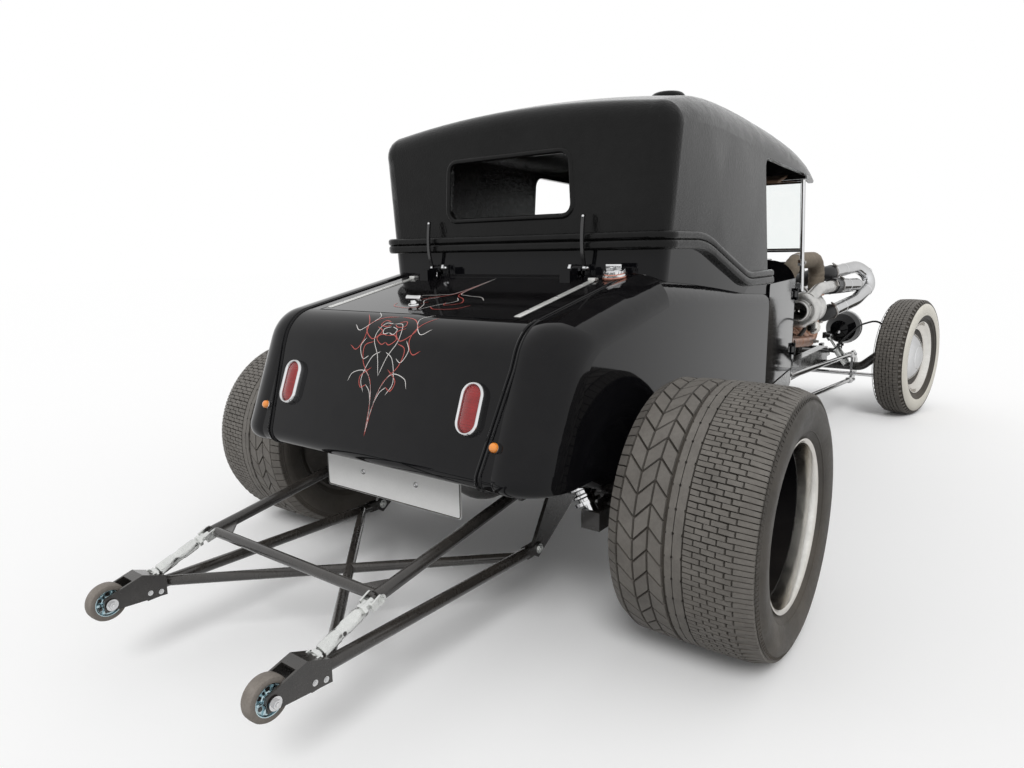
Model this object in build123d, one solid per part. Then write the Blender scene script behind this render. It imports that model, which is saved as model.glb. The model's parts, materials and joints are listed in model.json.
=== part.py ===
from build123d import *
import os
from math import cos, sin, radians, degrees, atan2

# A street rod roadster: open two seat body with a moulded hard coupe top, very wide rear tyres,
# a dropped front axle with radius rods, an open engine with a turbocharger on its right,
# and wheelie bars with small caster wheels behind.
# Sizes are in mm. X is to the right, Y forward, Z up. Everything is drawn with Y measured from
# the rear axle, and at the end it is moved so that Y is measured from the middle of the length.

# Running gear
WHEELBASE = 2860
REAR_TYRE_RADIUS = 311
REAR_TYRE_WIDTH = 337
REAR_TYRE_X = 742
FRONT_TYRE_RADIUS = 316
FRONT_TYRE_WIDTH = 157
BEAD_RADIUS = 188           # both rims take 15 inch tyres
TYRE_WALL = 14
TREAD_THICKNESS = 20
RIM_WALL = 5
RIM_LIP = 9
REAR_RIM_WIDTH = 300
FRONT_RIM_WIDTH = 118
REAR_DISC_OFFSET = -15      # the rear wheels' centre disc, out from the tyre's middle
HUBCAP_RADIUS = 143
HUBCAP_HEIGHT = 62
HUBCAP_WALL = 3
SEAT_GAP = 0.3              # between pieces that are fastened together
WIDE = 700                  # beyond the body's sides, for cuts right across it
TURN_GAP = 0.3              # round spindles and pins
MOVE_GAP = 5                # between a moving piece and what it passes

# Steering
STEER_AT_REST = 10          # degrees to the right
KINGPIN_X = 612
HUB_OFFSET = 110            # from the kingpin to the front tyre's middle
KINGPIN_RADIUS = 10
ARM_LENGTH = 120
TIE_ROD_Z = 212
TIE_ROD_RADIUS = 10
TIE_PIN_RADIUS = 6
SPINDLE_RADIUS = 16

# Body
TAIL_Y = -480               # at the foot of the leaning tail
TAIL_LEAN = 0.39            # how far the tail leans forward for each mm of height
TAIL_ROLL = 113
TAIL_CURL = 35
TAIL_BOTTOM = 416
TAIL_LIP_Y = -305           # where the tail's underside ends
DECK_SLOPE = 0.2
DECK_FRONT_Y = 135
DECK_FRONT_Z = 855
SEAM_X = 400
SEAM_BEND_Z = 680           # below this the two seams draw together
SEAM_FOOT_X = 360
SIDE_X = 520
SHOULDER = 80
BODY_WALL = 20
BODY_BOTTOM = 345
SILL_Z = 795
DOOR_REAR_Y = 968
DOOR_FRONT_Y = 1500
DOOR_THICKNESS = 40
DOOR_GAP = 7
DOOR_BOTTOM = 420
FIREWALL_Y = 1760
COWL_HALF_REAR = 462
COWL_HALF_FRONT = 402
COWL_TOP = 890
DASH_BOTTOM = 705
DOOR_PIN_X = 470
DOOR_PIN_Y = 1502.5
DOOR_PIN_RADIUS = 3
DOOR_KNUCKLE_RADIUS = 6.5
DOOR_HINGE_HEIGHTS = (500, 730)
LID_HALF = 342
LID_REAR_Y = -283
LID_FRONT_Y = 95
LID_THICKNESS = 18
LID_HINGE_Y = 118
LID_HINGE_Z = 874
HINGE_X = 258
HANDLE_X = -55
HANDLE_Y = -205
STAY_FOOT_Y = 112
STAY_TOP = 1012
FILLER_X = 382
FILLER_Y = 98
FILLER_RADIUS = 33

# Hard top
ROOF_WALL = 20
TOP_BASE = 500
SILL_LINE_Z = 900
ROOF_CROWN = 30
BELT_Z = 945
BELT_DROP_Z = 822
BELT_HALF = 24
BELT_GROOVE = 2             # the groove between the belt's two rolls, above the belt line
BELT_MEET = 0.5             # each roll reaches this far past the groove
BELT_PROUD = 22
BELT_ROUND = 9
BELT_DROP_START_Y = 383
BELT_DROP_END_Y = 725
WINDOW_LOW = (224, 1021)    # half width and height of the rear window's lower corners
WINDOW_HIGH = (213, 1187)
WINDOW_ROUND = 28
OPENING_ROUND = 40
VENT_X = 270
VENT_Y = 640
VENT_RADIUS = 55
VENT_TOP_Z = 1408
VENT_ROUND = 18
WIND_POST_X = 449
WIND_TOP_Y = 1579
WIND_TOP_Z = 1188
WIND_LOW_Y = 1622
WIND_LOW_Z = 908
WIND_BAR_RADIUS = 8
POST_FOOT_Z = 735
POST_RADIUS = 9
PILLAR_Y = 965
RAIL_Z = 1208

# Floor and bench
PAN_THICKNESS = 9
STEP_HEAD_Y = 310           # where the trunk floor starts to step down to the cabin floor
STEP_FOOT_Y = 470
TRUNK_HALF = 378
SEAT_HALF = 440
SEAT_BACK_Y = 480
SEAT_BACK_DEPTH = 150
SEAT_BACK_TOP = 900
SEAT_FRONT_Y = 960
SEAT_TOP = 520
SEAT_ROUND = 30

# Frame
RAIL_X = 290
RAIL_WIDTH = 50
RAIL_HEIGHT = 90
RAIL_BOTTOM = 262
KICK_BOTTOM = 400
KICK_HEIGHT = 78
KICK_REAR_Y = -215
FRAME_FRONT_Y = 2800
AXLE_TUBE_RADIUS = 38
COILOVER_TOP = (345, -100, 430)
COILOVER_LOW = (440, -100, 268)
COILOVER_LENGTH = 187.8
COILS = 6
COIL_PITCH = 20
COIL_SEAT = 34
TOP_STUB = 14
LOW_STUB = 16

# Front end
BEAM_RADIUS = 24
BEAM_Z = 238
BEAM_END_Z = FRONT_TYRE_RADIUS
BEAM_STRAIGHT = 490
ROD_RADIUS = 12
ROD_AXLE_X = 455
ROD_FRAME_X = 372
ROD_FRAME_Y = 1640
ROD_UPPER_Z = 318
ROD_LOWER_Z = 172
HEADLIGHT_X = 370
HEADLIGHT_Y = 2875
HEADLIGHT_Z = 455
HEADLIGHT_RADIUS = 95

# Engine
BLOCK_HALF = 170
HEAD_LEFT = -120
HEAD_RIGHT = 150
COLLECTOR_X = 372
COLLECTOR_UP_Y = 2205
COLLECTOR_TOP = 690
TURBO_X = 395
TURBO_Z = 632
TURBO_OUT_X = 448
TURBO_OUT_Z = 728
TURBO_OUT_Y = 2215
WRAP_FOOT_X = 296
CHARGE_RADIUS = 32
CHARGE_FIRST = [(392, 2380, 786), (470, 2640, 812), (545, 2770, 735), (495, 2540, 640), (420, 2290, 590)]
CHARGE_SECOND = [(TURBO_OUT_X, 2290, TURBO_OUT_Z), (490, 2560, 722), (430, 2700, 700), (265, 2500, 690)]
TURBO_OUT_RADIUS = 27
WRAP_RADIUS = 36
WRAP_TOP_Z = 858
HEADER_PORTS = (1880, 1975, 2070, 2150)
HEADER_PORT_Z = 585

# Engine forms as left, right, rear, front, bottom and top
ENGINE_FRONT_Y = 2440
ENGINE_BLOCK = (-BLOCK_HALF, BLOCK_HALF, 1790, ENGINE_FRONT_Y, 300, 610)
ENGINE_HEAD = (HEAD_LEFT, HEAD_RIGHT, 1800, 2430, 610, 730)
VALVE_COVER = (-70, 100, 1830, 2400, 730, 790)
ENGINE_SUMP = (-140, 140, 1830, 2380, 220, 300)
GEARBOX = (-110, 110, 1240, 1790, 215, 345)
PULLEY_Z = 330
PULLEY_RADIUS = 80

SPRING_Y = 2932
SPRING_Z = 322
SPRING_SAG = 34
SPRING_WIDTH = 44
SPRING_LEAVES = (395, 330, 262, 190, 120)
PERCH_Z = 250

# Steering wheel
STEERING_CENTRE = (-240, 1215, 800)
STEERING_RADIUS = 180
COLUMN_SLOPE = 0.45

# Radiator
RADIATOR_Y = 2600
RADIATOR_TOP = 840
RADIATOR_HALF = 215
GRILLE_BARS = 13
GRILLE_REACH = 168

# Wheelie bars
BAR_X = 292
BAR_RADIUS = 14
BRACE_RADIUS = 12
BUCKLE_RADIUS = 11
BUCKLE_ROD_RADIUS = 7
UPPER_FRONT_Y = -232
UPPER_FRONT_Z = 336
UPPER_REAR_Y = -698
UPPER_REAR_Z = 259
LOWER_FRONT_Y = -149
LOWER_FRONT_Z = 165
LOWER_REAR_Y = -862
LOWER_REAR_Z = 180
CASTER_Y = -953
CASTER_Z = 184
CASTER_RADIUS = 41
CASTER_WIDTH = 30

# Lamps and plate
TAIL_LIGHT_X = 314
TAIL_LIGHT_Z = 591
TAIL_LIGHT_HEIGHT = 122
TAIL_LIGHT_WIDTH = 64
LAMP_DEPTH = 16
MARKER_X = 398
MARKER_Z = 517
PLATE_Y = -378
PLATE_WIDTH = 480
PLATE_HEIGHT = 110
PLATE_BOLT_X = 95
PLATE_BOLT_DROP = 50        # from the plate's top edge
PLATE_BOLT_RADIUS = 3.2


def rod(start, end, radius):
    """A round bar between two points."""
    start, end = Vector(*start), Vector(*end)
    path = Line(start, end)
    return sweep(Plane(start, z_dir=end - start) * Circle(radius), path=path)


def bent_tube(points, bends, radius, bore=0):
    """A tube along straight runs joined by arcs; bends holds one radius for each corner."""
    path = FilletPolyline(*[Vector(*p) for p in points], radius=bends)
    start = path @ 0
    profile = Plane(start, z_dir=path % 0) * Circle(radius)
    tube = sweep(profile, path=path)
    if bore:
        tube -= sweep(Plane(start, z_dir=path % 0) * Circle(bore), path=path)
    return tube


def cylinder_x(x0, x1, y, z, radius):
    return Pos((x0 + x1) / 2, y, z) * Rot(0, 90, 0) * Cylinder(radius, abs(x1 - x0))


def cylinder_y(x, y0, y1, z, radius):
    return Pos(x, (y0 + y1) / 2, z) * Rot(90, 0, 0) * Cylinder(radius, abs(y1 - y0))


def cylinder_z(x, y, z0, z1, radius):
    return Pos(x, y, (z0 + z1) / 2) * Cylinder(radius, abs(z1 - z0))


def block(x0, x1, y0, y1, z0, z1):
    return Pos((x0 + x1) / 2, (y0 + y1) / 2, (z0 + z1) / 2) * Box(abs(x1 - x0), abs(y1 - y0), abs(z1 - z0))


def side_face(points, x):
    """A face in the side view, from (y, z) points, standing at x."""
    return Plane.YZ.offset(x) * make_face(Polyline(*points, close=True))


def both(shape):
    """The shape and its mirror image on the other side of the car."""
    return [shape, mirror(shape, about=Plane.YZ)]


def deck_z(y):
    return DECK_FRONT_Z - (DECK_FRONT_Y - y) * DECK_SLOPE


def corner_fillet(face, corners):
    """Rounds the corners of a flat face; corners holds (y, z, radius)."""
    for y, z, radius in corners:
        vertex = sorted(face.vertices(), key=lambda v: abs(v.Y - y) + abs(v.Z - z))[0]
        face = fillet(vertex, radius)
    return face


def tail_y(z):
    """Where the leaning tail's outer face is at height z."""
    return TAIL_Y + (z - TAIL_BOTTOM) * TAIL_LEAN


def body_side_face(x, drop, closed_in):
    """The body's side outline at x, let in by drop at the top and tail; closed_in is the wall."""
    let_in = drop * 1.4
    bottom = TAIL_BOTTOM + closed_in
    tail = tail_y(bottom) + let_in
    lip_y = TAIL_LIP_Y + let_in
    end_y = DOOR_REAR_Y + (BODY_WALL if closed_in else 0)
    low = BODY_BOTTOM - (BODY_WALL if closed_in else 0)
    level_z = deck_z(0) - drop
    corner_y = (tail_y(level_z) + let_in) / (1 - TAIL_LEAN * DECK_SLOPE)
    corner_z = deck_z(corner_y) - drop
    points = [
        (tail, bottom),
        (lip_y, bottom),
        (lip_y + 60, low if closed_in else BODY_BOTTOM + 40),
        (DECK_FRONT_Y + 160, low),
        (end_y, low),
        (end_y, SILL_Z + 7 - drop),
        (DECK_FRONT_Y, deck_z(DECK_FRONT_Y) - drop),
        (corner_y, corner_z),
    ]
    face = side_face(points, x)
    roll = TAIL_ROLL - closed_in
    return corner_fillet(face, [(corner_y, corner_z, roll), (tail, bottom, TAIL_CURL - closed_in)])


def quarter_envelope(wall, start_x, grow=0):
    """The right quarter as a solid; wall lets it in all over."""
    faces = [body_side_face(start_x, wall - grow, wall)]
    reach = SHOULDER - wall + grow
    centre_x = SIDE_X - SHOULDER
    for angle in (25, 50, 75, 90):
        x = centre_x + reach * sin(radians(angle))
        drop = SHOULDER - reach * cos(radians(angle))
        faces.append(body_side_face(x, drop, wall))
    return loft(faces)


def quarter_solid(wall):
    """The right quarter with the strip of tail beside the slanting part of the seam."""
    start, width = SEAM_X - abs(wall), SEAM_X - SEAM_FOOT_X
    strip = extrude(body_side_face(start - width, wall, wall), amount=width)
    return quarter_envelope(wall, start) + strip


def between_seams(gap):
    """All that lies between the two seams, let in by gap."""
    high, low = SEAM_X - gap, SEAM_FOOT_X - gap
    right = [(low, 0), (low, TAIL_BOTTOM), (high, SEAM_BEND_Z), (high, 1500)]
    outline = right + [(-x, z) for x, z in reversed(right)]
    return extrude(Plane.XZ * make_face(Polyline(*outline, close=True)), amount=3 * WIDE, both=True)


def quarter_right():
    """A shell that is open to the cabin inside the cabin's own walls."""
    y0, y1 = DECK_FRONT_Y + BODY_WALL, DOOR_REAR_Y - BODY_WALL
    cabin = cabin_envelope(BODY_WALL) & block(0, WIDE, y0, y1, 700, 1200)
    return quarter_solid(0) - quarter_solid(BODY_WALL) - between_seams(0) - cabin


def tail_panel():
    """The tail between the two seams: deck edge, roll, back and the curl below."""
    half = SEAM_X - SEAT_GAP
    outer = extrude(body_side_face(-half, 0, 0), amount=2 * half)
    inner = extrude(body_side_face(-half, BODY_WALL, BODY_WALL), amount=2 * half)
    keep = block(-half, half, TAIL_Y - 50, LID_REAR_Y - MOVE_GAP, TAIL_BOTTOM - 50, DECK_FRONT_Z)
    return (outer - inner) & keep & between_seams(SEAT_GAP)


# Cabin sections from the back wall to the visor: y, half width at the shoulder,
# half width at the sill line, roof height, shoulder radius
CABIN_SECTIONS = [
    (DECK_FRONT_Y, 521, 492, 1313, 64),
    (450, 504, 499, 1379, 91),
    (800, 487, 506, 1398, 118),
    (1200, 483, 501, 1371, 108),
    (1750, 466, 480, 1259, 103),
]
BACK_ROUND = 60             # radius round the cabin's back wall


def cabin_face(y, half, sill_half, roof, shoulder, base):
    side_top = roof - ROOF_CROWN - shoulder
    lean = (sill_half - half) / (side_top - SILL_LINE_Z)
    foot = half + lean * (side_top - base)
    turn = 1 - cos(radians(45))
    right = (half, side_top)
    edge = (half - shoulder, roof - ROOF_CROWN)
    edge_mid = (half - shoulder * turn, roof - ROOF_CROWN - shoulder * turn)
    lines = [
        Line((-foot, base), (foot, base)),
        Line((foot, base), right),
        ThreePointArc(right, edge_mid, edge),
        ThreePointArc(edge, (0, roof), (-edge[0], edge[1])),
        ThreePointArc((-edge[0], edge[1]), (-edge_mid[0], edge_mid[1]), (-right[0], right[1])),
        Line((-right[0], right[1]), (-foot, base)),
    ]
    return Plane.XZ.offset(-y) * make_face(Wire(lines))


def cabin_envelope(wall):
    """The cabin and hard top as a solid; wall lets it in all over, except at the open front."""
    faces = []
    for y, half, sill_half, roof, shoulder in CABIN_SECTIONS:
        shift = wall if y in (CABIN_SECTIONS[0][0], CABIN_SECTIONS[-1][0]) else 0
        sizes = [size - wall for size in (half, sill_half, roof, shoulder, TOP_BASE)]
        faces.append(cabin_face(y + shift, *sizes))
    body = loft(faces)
    back = body.faces().sort_by(Axis.Y)[0]
    edges = [edge for edge in back.edges() if edge.bounding_box().max.Z > TOP_BASE + 1]
    return fillet(edges, BACK_ROUND - (wall if wall > 0 else wall / 2))


def belt_line(shift):
    """The side view line where the hard top meets the body, moved up by shift."""
    return FilletPolyline(
        (-800, BELT_Z + shift),
        (BELT_DROP_START_Y, BELT_Z + shift),
        (BELT_DROP_END_Y, BELT_DROP_Z + shift),
        (2400, BELT_DROP_Z + shift),
        radius=[400, 250],
    )


def belt_region(low, high):
    """All that lies between two heights about the belt line, right across the car."""
    lower, upper = belt_line(low), belt_line(high)
    ends = [Line(lower @ 0, upper @ 0), Line(lower @ 1, upper @ 1)]
    outline = make_face(lower.edges() + upper.edges() + ends)
    return extrude(Plane.YZ.offset(-WIDE) * outline, amount=2 * WIDE)


def belt_roll(low, high):
    """One rounded roll round the foot of the hard top, between two heights about the belt line."""
    roll = cabin_envelope(-BELT_PROUD) & belt_region(low, high)
    roll &= block(-WIDE, WIDE, 0, PILLAR_Y, 700, 1100)
    rims = [face for face in roll.faces() if abs(face.normal_at().Z) > 0.6]
    edges = [edge for face in rims for edge in face.edges() if edge.bounding_box().size.X < 1.7 * SIDE_X]
    return fillet(edges, BELT_ROUND)


def hard_top():
    outer = cabin_envelope(0)
    inner = cabin_envelope(ROOF_WALL)
    shell = outer - inner
    shell -= belt_region(-700, -10 + SEAT_GAP)
    # The side openings, from the pillar forward
    top = [(PILLAR_Y, RAIL_Z + 18), (1600, RAIL_Z - 6), (1800, RAIL_Z - 20)]
    opening = side_face([(PILLAR_Y, 600)] + top + [(1800, 600)], -WIDE)
    opening = corner_fillet(opening, [(*top[0], OPENING_ROUND)])
    shell -= extrude(opening, amount=2 * WIDE)
    low, high = WINDOW_LOW, WINDOW_HIGH
    window = make_face(Polyline((-low[0], low[1]), low, high, (-high[0], high[1]), close=True))
    window = fillet(window.vertices(), WINDOW_ROUND)
    shell -= extrude(Plane.XZ.offset(-DECK_FRONT_Y) * window, amount=60, both=True)
    header_z = WIND_TOP_Z + WIND_BAR_RADIUS + SEAT_GAP
    header = inner & block(-600, 600, WIND_TOP_Y - 12, WIND_TOP_Y + 16, header_z, 1500)
    band = belt_roll(-BELT_HALF, BELT_GROOVE + BELT_MEET) + belt_roll(BELT_GROOVE - BELT_MEET, BELT_HALF)
    band -= cabin_envelope(ROOF_WALL / 2)
    band -= cabin_envelope(-SEAT_GAP) & belt_region(-BELT_HALF - 10, -10 + SEAT_GAP)
    vent = cylinder_z(VENT_X, VENT_Y, VENT_TOP_Z - 60, VENT_TOP_Z, VENT_RADIUS)
    vent = fillet(vent.edges().group_by(Axis.Z)[-1], VENT_ROUND) - inner
    return shell + header + band + vent


def deck_surround():
    """The deck round the lid, and the cabin's back and side walls up to the hard top."""
    half = SEAM_X - SEAT_GAP
    y0, y1 = LID_REAR_Y - MOVE_GAP + SEAT_GAP, DECK_FRONT_Y + ROOF_WALL
    top = [(y0, deck_z(y0)), (y1, deck_z(y1))]
    deck = side_face([top[0], top[1], (y1, deck_z(y1) - BODY_WALL), (y0, deck_z(y0) - BODY_WALL)], -half)
    deck = extrude(deck, amount=2 * half)
    hole_half = LID_HALF + MOVE_GAP
    deck -= block(-hole_half, hole_half, y0 - 10, LID_FRONT_Y + MOVE_GAP, 600, 1000)
    walls = cabin_envelope(0) - cabin_envelope(BODY_WALL)
    walls -= belt_region(-10, 900)
    keep_half = SIDE_X - 9
    walls &= block(-keep_half, keep_half, 0, PILLAR_Y, TOP_BASE, 1200)
    for side in both(quarter_envelope(-SEAT_GAP, SEAM_X - SEAT_GAP)):
        walls -= side
    return deck + walls


def deck_lid():
    y0, y1 = LID_REAR_Y, LID_FRONT_Y
    outline = [(y, deck_z(y)) for y in (y0, y1)] + [(y, deck_z(y) - LID_THICKNESS) for y in (y1, y0)]
    lid = extrude(side_face(outline, -LID_HALF), amount=2 * LID_HALF)
    lid = fillet(lid.edges().filter_by(Axis.X).group_by(Axis.Z)[-1], 5)
    for x in (-HINGE_X, HINGE_X):
        foot = block(x - 16, x + 16, y1 - 48, y1 - 8, deck_z(y1 - 48) - 4, LID_HINGE_Z - 4)
        leaf = block(x - 16, x + 16, y1 - 40, LID_HINGE_Y, LID_HINGE_Z - 6, LID_HINGE_Z + 1)
        knuckle = cylinder_x(x - 16, x + 16, LID_HINGE_Y, LID_HINGE_Z, 8)
        lid += foot + leaf + knuckle
        lid -= cylinder_x(x - 20, x + 20, LID_HINGE_Y, LID_HINGE_Z, 4 + TURN_GAP)
    foot_z = deck_z(HANDLE_Y)
    handle = cylinder_z(HANDLE_X, HANDLE_Y, foot_z - 6, foot_z + 16, 7)
    handle += cylinder_x(HANDLE_X - 24, HANDLE_X + 24, HANDLE_Y, foot_z + 18, 6)
    return lid + handle


def deck_fittings():
    """Hinge brackets with the curved stays, and the filler cap, all on the fixed deck."""
    pieces = []
    y0, y1 = LID_HINGE_Y - 12, LID_HINGE_Y + 14
    low = [(y0, deck_z(y0) + SEAT_GAP), (y1, deck_z(y1) + SEAT_GAP)]
    for x in (-HINGE_X, HINGE_X):
        base = low + [(y1, low[1][1] + 4), (y0, low[0][1] + 4)]
        bracket = extrude(side_face(base, x - 28), amount=56)
        ear_top = LID_HINGE_Z + 10
        ear_outline = low + [(y1, ear_top - 6), (y1 - 6, ear_top), (y0 + 4, ear_top), (y0, LID_HINGE_Z)]
        for ear in (-23, 23):
            bracket += extrude(side_face(ear_outline, x + ear - 4), amount=8)
        bracket += cylinder_x(x - 27, x + 27, LID_HINGE_Y, LID_HINGE_Z, 4)
        stay_x = x + 23 if x > 0 else x - 23
        heights = (LID_HINGE_Z, BELT_Z, STAY_TOP)
        stay = [(stay_x, STAY_FOOT_Y - back, z) for back, z in zip((0, 12, 8), heights)]
        bracket += bent_tube(stay, [150], 3) + Pos(*stay[2]) * Sphere(5)
        pieces.append(bracket)
    cap = Cylinder(FILLER_RADIUS, 14, align=(Align.CENTER, Align.CENTER, Align.MIN))
    cap += Pos(0, 0, 14) * Cylinder(FILLER_RADIUS - 9, 12, align=(Align.CENTER, Align.CENTER, Align.MIN))
    cap += Pos(0, 0, 29) * Box(44, 8, 10)
    foot = (FILLER_X, FILLER_Y, deck_z(FILLER_Y) + SEAT_GAP)
    seat = Plane(foot, x_dir=(1, 0, 0), z_dir=(0, -DECK_SLOPE, 1))
    pieces.append(seat.location * cap - quarter_envelope(-SEAT_GAP, SEAM_X - SEAT_GAP))
    return pieces


def cowl_side(y):
    """How far out the cowl's side stands at y."""
    start = DOOR_FRONT_Y + MOVE_GAP
    return COWL_HALF_REAR - (COWL_HALF_REAR - COWL_HALF_FRONT) * (y - start) / (FIREWALL_Y - start)


def cowl():
    """The scuttle with its firewall and dash panel."""
    def section(y, half, top, wall):
        shoulder = 105
        base = RAIL_BOTTOM + RAIL_HEIGHT + SEAT_GAP
        return cabin_like_face(y, half - wall, top - wall, shoulder - wall / 2, base - wall)
    outer = loft([section(DOOR_FRONT_Y + MOVE_GAP, COWL_HALF_REAR, COWL_TOP, 0),
                  section(FIREWALL_Y, COWL_HALF_FRONT, COWL_TOP - 30, 0)])
    inner = loft([section(DOOR_FRONT_Y, COWL_HALF_REAR, COWL_TOP, BODY_WALL),
                  section(FIREWALL_Y - BODY_WALL, COWL_HALF_FRONT, COWL_TOP - 30, BODY_WALL)])
    dash = inner & block(-500, 500, DOOR_FRONT_Y + MOVE_GAP, DOOR_FRONT_Y + 25, DASH_BOTTOM, 1000)
    body = outer - inner + dash
    leaf = hinge_leaf([(-15, 3.5), (2, 3.5), (4, 6), (-10, 28), (-22, 28)])
    for z in DOOR_HINGE_HEIGHTS:
        hinge = cylinder_z(DOOR_PIN_X, DOOR_PIN_Y, z - 24, z + 24, DOOR_PIN_RADIUS)
        for low in (z - 24, z + 12 + SEAT_GAP):
            high = low + 12 - SEAT_GAP
            hinge += Pos(0, 0, low) * extrude(leaf, amount=high - low)
            hinge += cylinder_z(DOOR_PIN_X, DOOR_PIN_Y, low, high, DOOR_KNUCKLE_RADIUS)
        for piece in both(hinge):
            body += piece
    return body


def hinge_leaf(points):
    """The outline of a door hinge's leaf, from points measured from the pin."""
    return make_face(Polyline(*[(DOOR_PIN_X + x, DOOR_PIN_Y + y) for x, y in points], close=True))


def cabin_like_face(y, half, top, shoulder, base):
    crown = 22
    turn = 1 - cos(radians(45))
    edge = (half - shoulder, top - crown)
    mid = (half - shoulder * turn, top - crown - shoulder * turn)
    right = (half, top - crown - shoulder)
    lines = [
        Line((-half, base), (half, base)),
        Line((half, base), right),
        ThreePointArc(right, mid, edge),
        ThreePointArc(edge, (0, top), (-edge[0], edge[1])),
        ThreePointArc((-edge[0], edge[1]), (-mid[0], mid[1]), (-right[0], right[1])),
        Line((-right[0], right[1]), (-half, base)),
    ]
    return Plane.XZ.offset(-y) * make_face(Wire(lines))


def door_right():
    y0, y1 = DOOR_REAR_Y + DOOR_GAP, DOOR_FRONT_Y
    outer0, outer1 = SIDE_X - 2, COWL_HALF_REAR
    outline = make_face(Polyline((outer0, y0), (outer1, y1), (outer1 - DOOR_THICKNESS, y1),
                                 (outer0 - DOOR_THICKNESS, y0), close=True))
    door = Pos(0, 0, DOOR_BOTTOM) * extrude(outline, amount=SILL_Z - DOOR_BOTTOM)
    door = fillet(door.edges().group_by(Axis.Z)[-1].sort_by(Axis.X)[-1], 14)
    leaf = hinge_leaf([(-15, -3.5), (2, -3.5), (4, -6), (-1, -28), (-12, -28)])
    for z in DOOR_HINGE_HEIGHTS:
        door += Pos(0, 0, z - 12) * extrude(leaf, amount=24)
        door += cylinder_z(DOOR_PIN_X, DOOR_PIN_Y, z - 12, z + 12, DOOR_KNUCKLE_RADIUS)
        door -= cylinder_z(DOOR_PIN_X, DOOR_PIN_Y, z - 30, z + 30, DOOR_PIN_RADIUS + TURN_GAP)
    return door


def tyre(radius, width, rim_width):
    """A hollow tyre with its axle along X, its middle at the origin."""
    half = width / 2
    bulge = radius - (radius - BEAD_RADIUS) * 0.45
    foot = rim_width / 2 - RIM_WALL - SEAT_GAP
    lip_top = BEAD_RADIUS + RIM_LIP + 2
    wall, tread = TYRE_WALL, TREAD_THICKNESS
    right_outer = [(foot, BEAD_RADIUS), (foot, lip_top), (half - 5, BEAD_RADIUS + 34), (half, bulge),
                   (half - 6, radius - 26), (half - 22, radius - 6)]
    right_inner = [(half - 26, radius - tread - 6), (half - wall, bulge), (foot - wall, lip_top + 6),
                   (foot - wall, BEAD_RADIUS)]
    crown = [(half * 0.45, radius)]
    points = right_outer + crown
    points += [(-a, r) for a, r in reversed(right_outer + crown)]
    points += [(-a, r) for a, r in reversed(right_inner)]
    points += right_inner
    return revolve(make_face(Polyline(*points, close=True)), axis=Axis.X)


def rim(width, disc_x, disc_thickness, hub_radius, bore):
    """A wheel with its axle along X: barrel with lips, a dished centre and a bored hub."""
    half = width / 2
    seat = BEAD_RADIUS - SEAT_GAP
    lip = BEAD_RADIUS + RIM_LIP
    well = BEAD_RADIUS - 18
    w = RIM_WALL
    outer = [(-half, lip), (-half + w, lip), (-half + w, seat), (-half + 38, seat), (-half + 46, well),
             (half - 46, well), (half - 38, seat), (half - w, seat), (half - w, lip), (half, lip)]
    inner = [(half, seat - w), (half - 40, seat - w), (half - 50, well - w), (-half + 50, well - w),
             (-half + 40, seat - w), (-half, seat - w)]
    barrel = revolve(make_face(Polyline(*(outer + inner), close=True)), axis=Axis.X)
    d0, d1 = disc_x - disc_thickness / 2, disc_x + disc_thickness / 2
    centre = cylinder_x(d0, d1, 0, 0, well - w / 2)
    hub = cylinder_x(d0 - 12, d1 + 26, 0, 0, hub_radius)
    return barrel + centre + hub - cylinder_x(-width, width, 0, 0, bore)


def rear_wheel():
    return rim(REAR_RIM_WIDTH, REAR_DISC_OFFSET, 12, 62, 28 + TURN_GAP)


def front_wheel():
    wheel = rim(FRONT_RIM_WIDTH, 6, 8, 45, SPINDLE_RADIUS + TURN_GAP)
    cap_foot = 6 + 4 + SEAT_GAP
    cap = Pos(cap_foot, 0, 0) * hubcap()
    return [wheel, cap]


def hubcap():
    """A domed cap with its rim towards the wheel."""
    dome_radius = (HUBCAP_RADIUS ** 2 + HUBCAP_HEIGHT ** 2) / (2 * HUBCAP_HEIGHT)
    middle = HUBCAP_RADIUS * 0.55

    def dome(wall):
        reach = ((dome_radius - wall) ** 2 - middle ** 2) ** 0.5
        top, foot = (HUBCAP_HEIGHT - wall, 0), (0, HUBCAP_RADIUS - wall)
        return ThreePointArc(top, (HUBCAP_HEIGHT - dome_radius + reach, middle), foot)

    edge, inner = dome(0), dome(HUBCAP_WALL)
    face = make_face(Wire([edge, Line(edge @ 1, inner @ 1), inner, Line(inner @ 0, edge @ 0)]))
    return revolve(face, axis=Axis.X)


def front_corner():
    """The right front corner at the straight ahead, with the kingpin at the origin of x and y."""
    z = FRONT_TYRE_RADIUS
    hub = HUB_OFFSET
    knuckle = block(31, 46, -24, 24, z - 62, z + 62)
    for z0, z1 in ((z + 44, z + 62), (z - 62, z - 44)):
        knuckle += block(0, 32, -24, 24, z0, z1) + cylinder_z(0, 0, z0, z1, 24)
    knuckle += cylinder_x(40, hub + 24, 0, z, SPINDLE_RADIUS)
    knuckle += cylinder_x(46, 52, 0, z, 110)
    arm_z = TIE_ROD_Z + 26
    knuckle += block(-14, 14, -ARM_LENGTH, 0, arm_z, arm_z + 14)
    knuckle += cylinder_z(0, -ARM_LENGTH, arm_z, arm_z + 14, 14)
    knuckle += block(-14, 14, -24, 24, arm_z, z - 44)
    knuckle += cylinder_z(0, -ARM_LENGTH, TIE_ROD_Z - 16, arm_z + 2, TIE_PIN_RADIUS)
    knuckle -= cylinder_z(0, 0, z - 80, z + 80, KINGPIN_RADIUS + TURN_GAP)
    return knuckle


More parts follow.
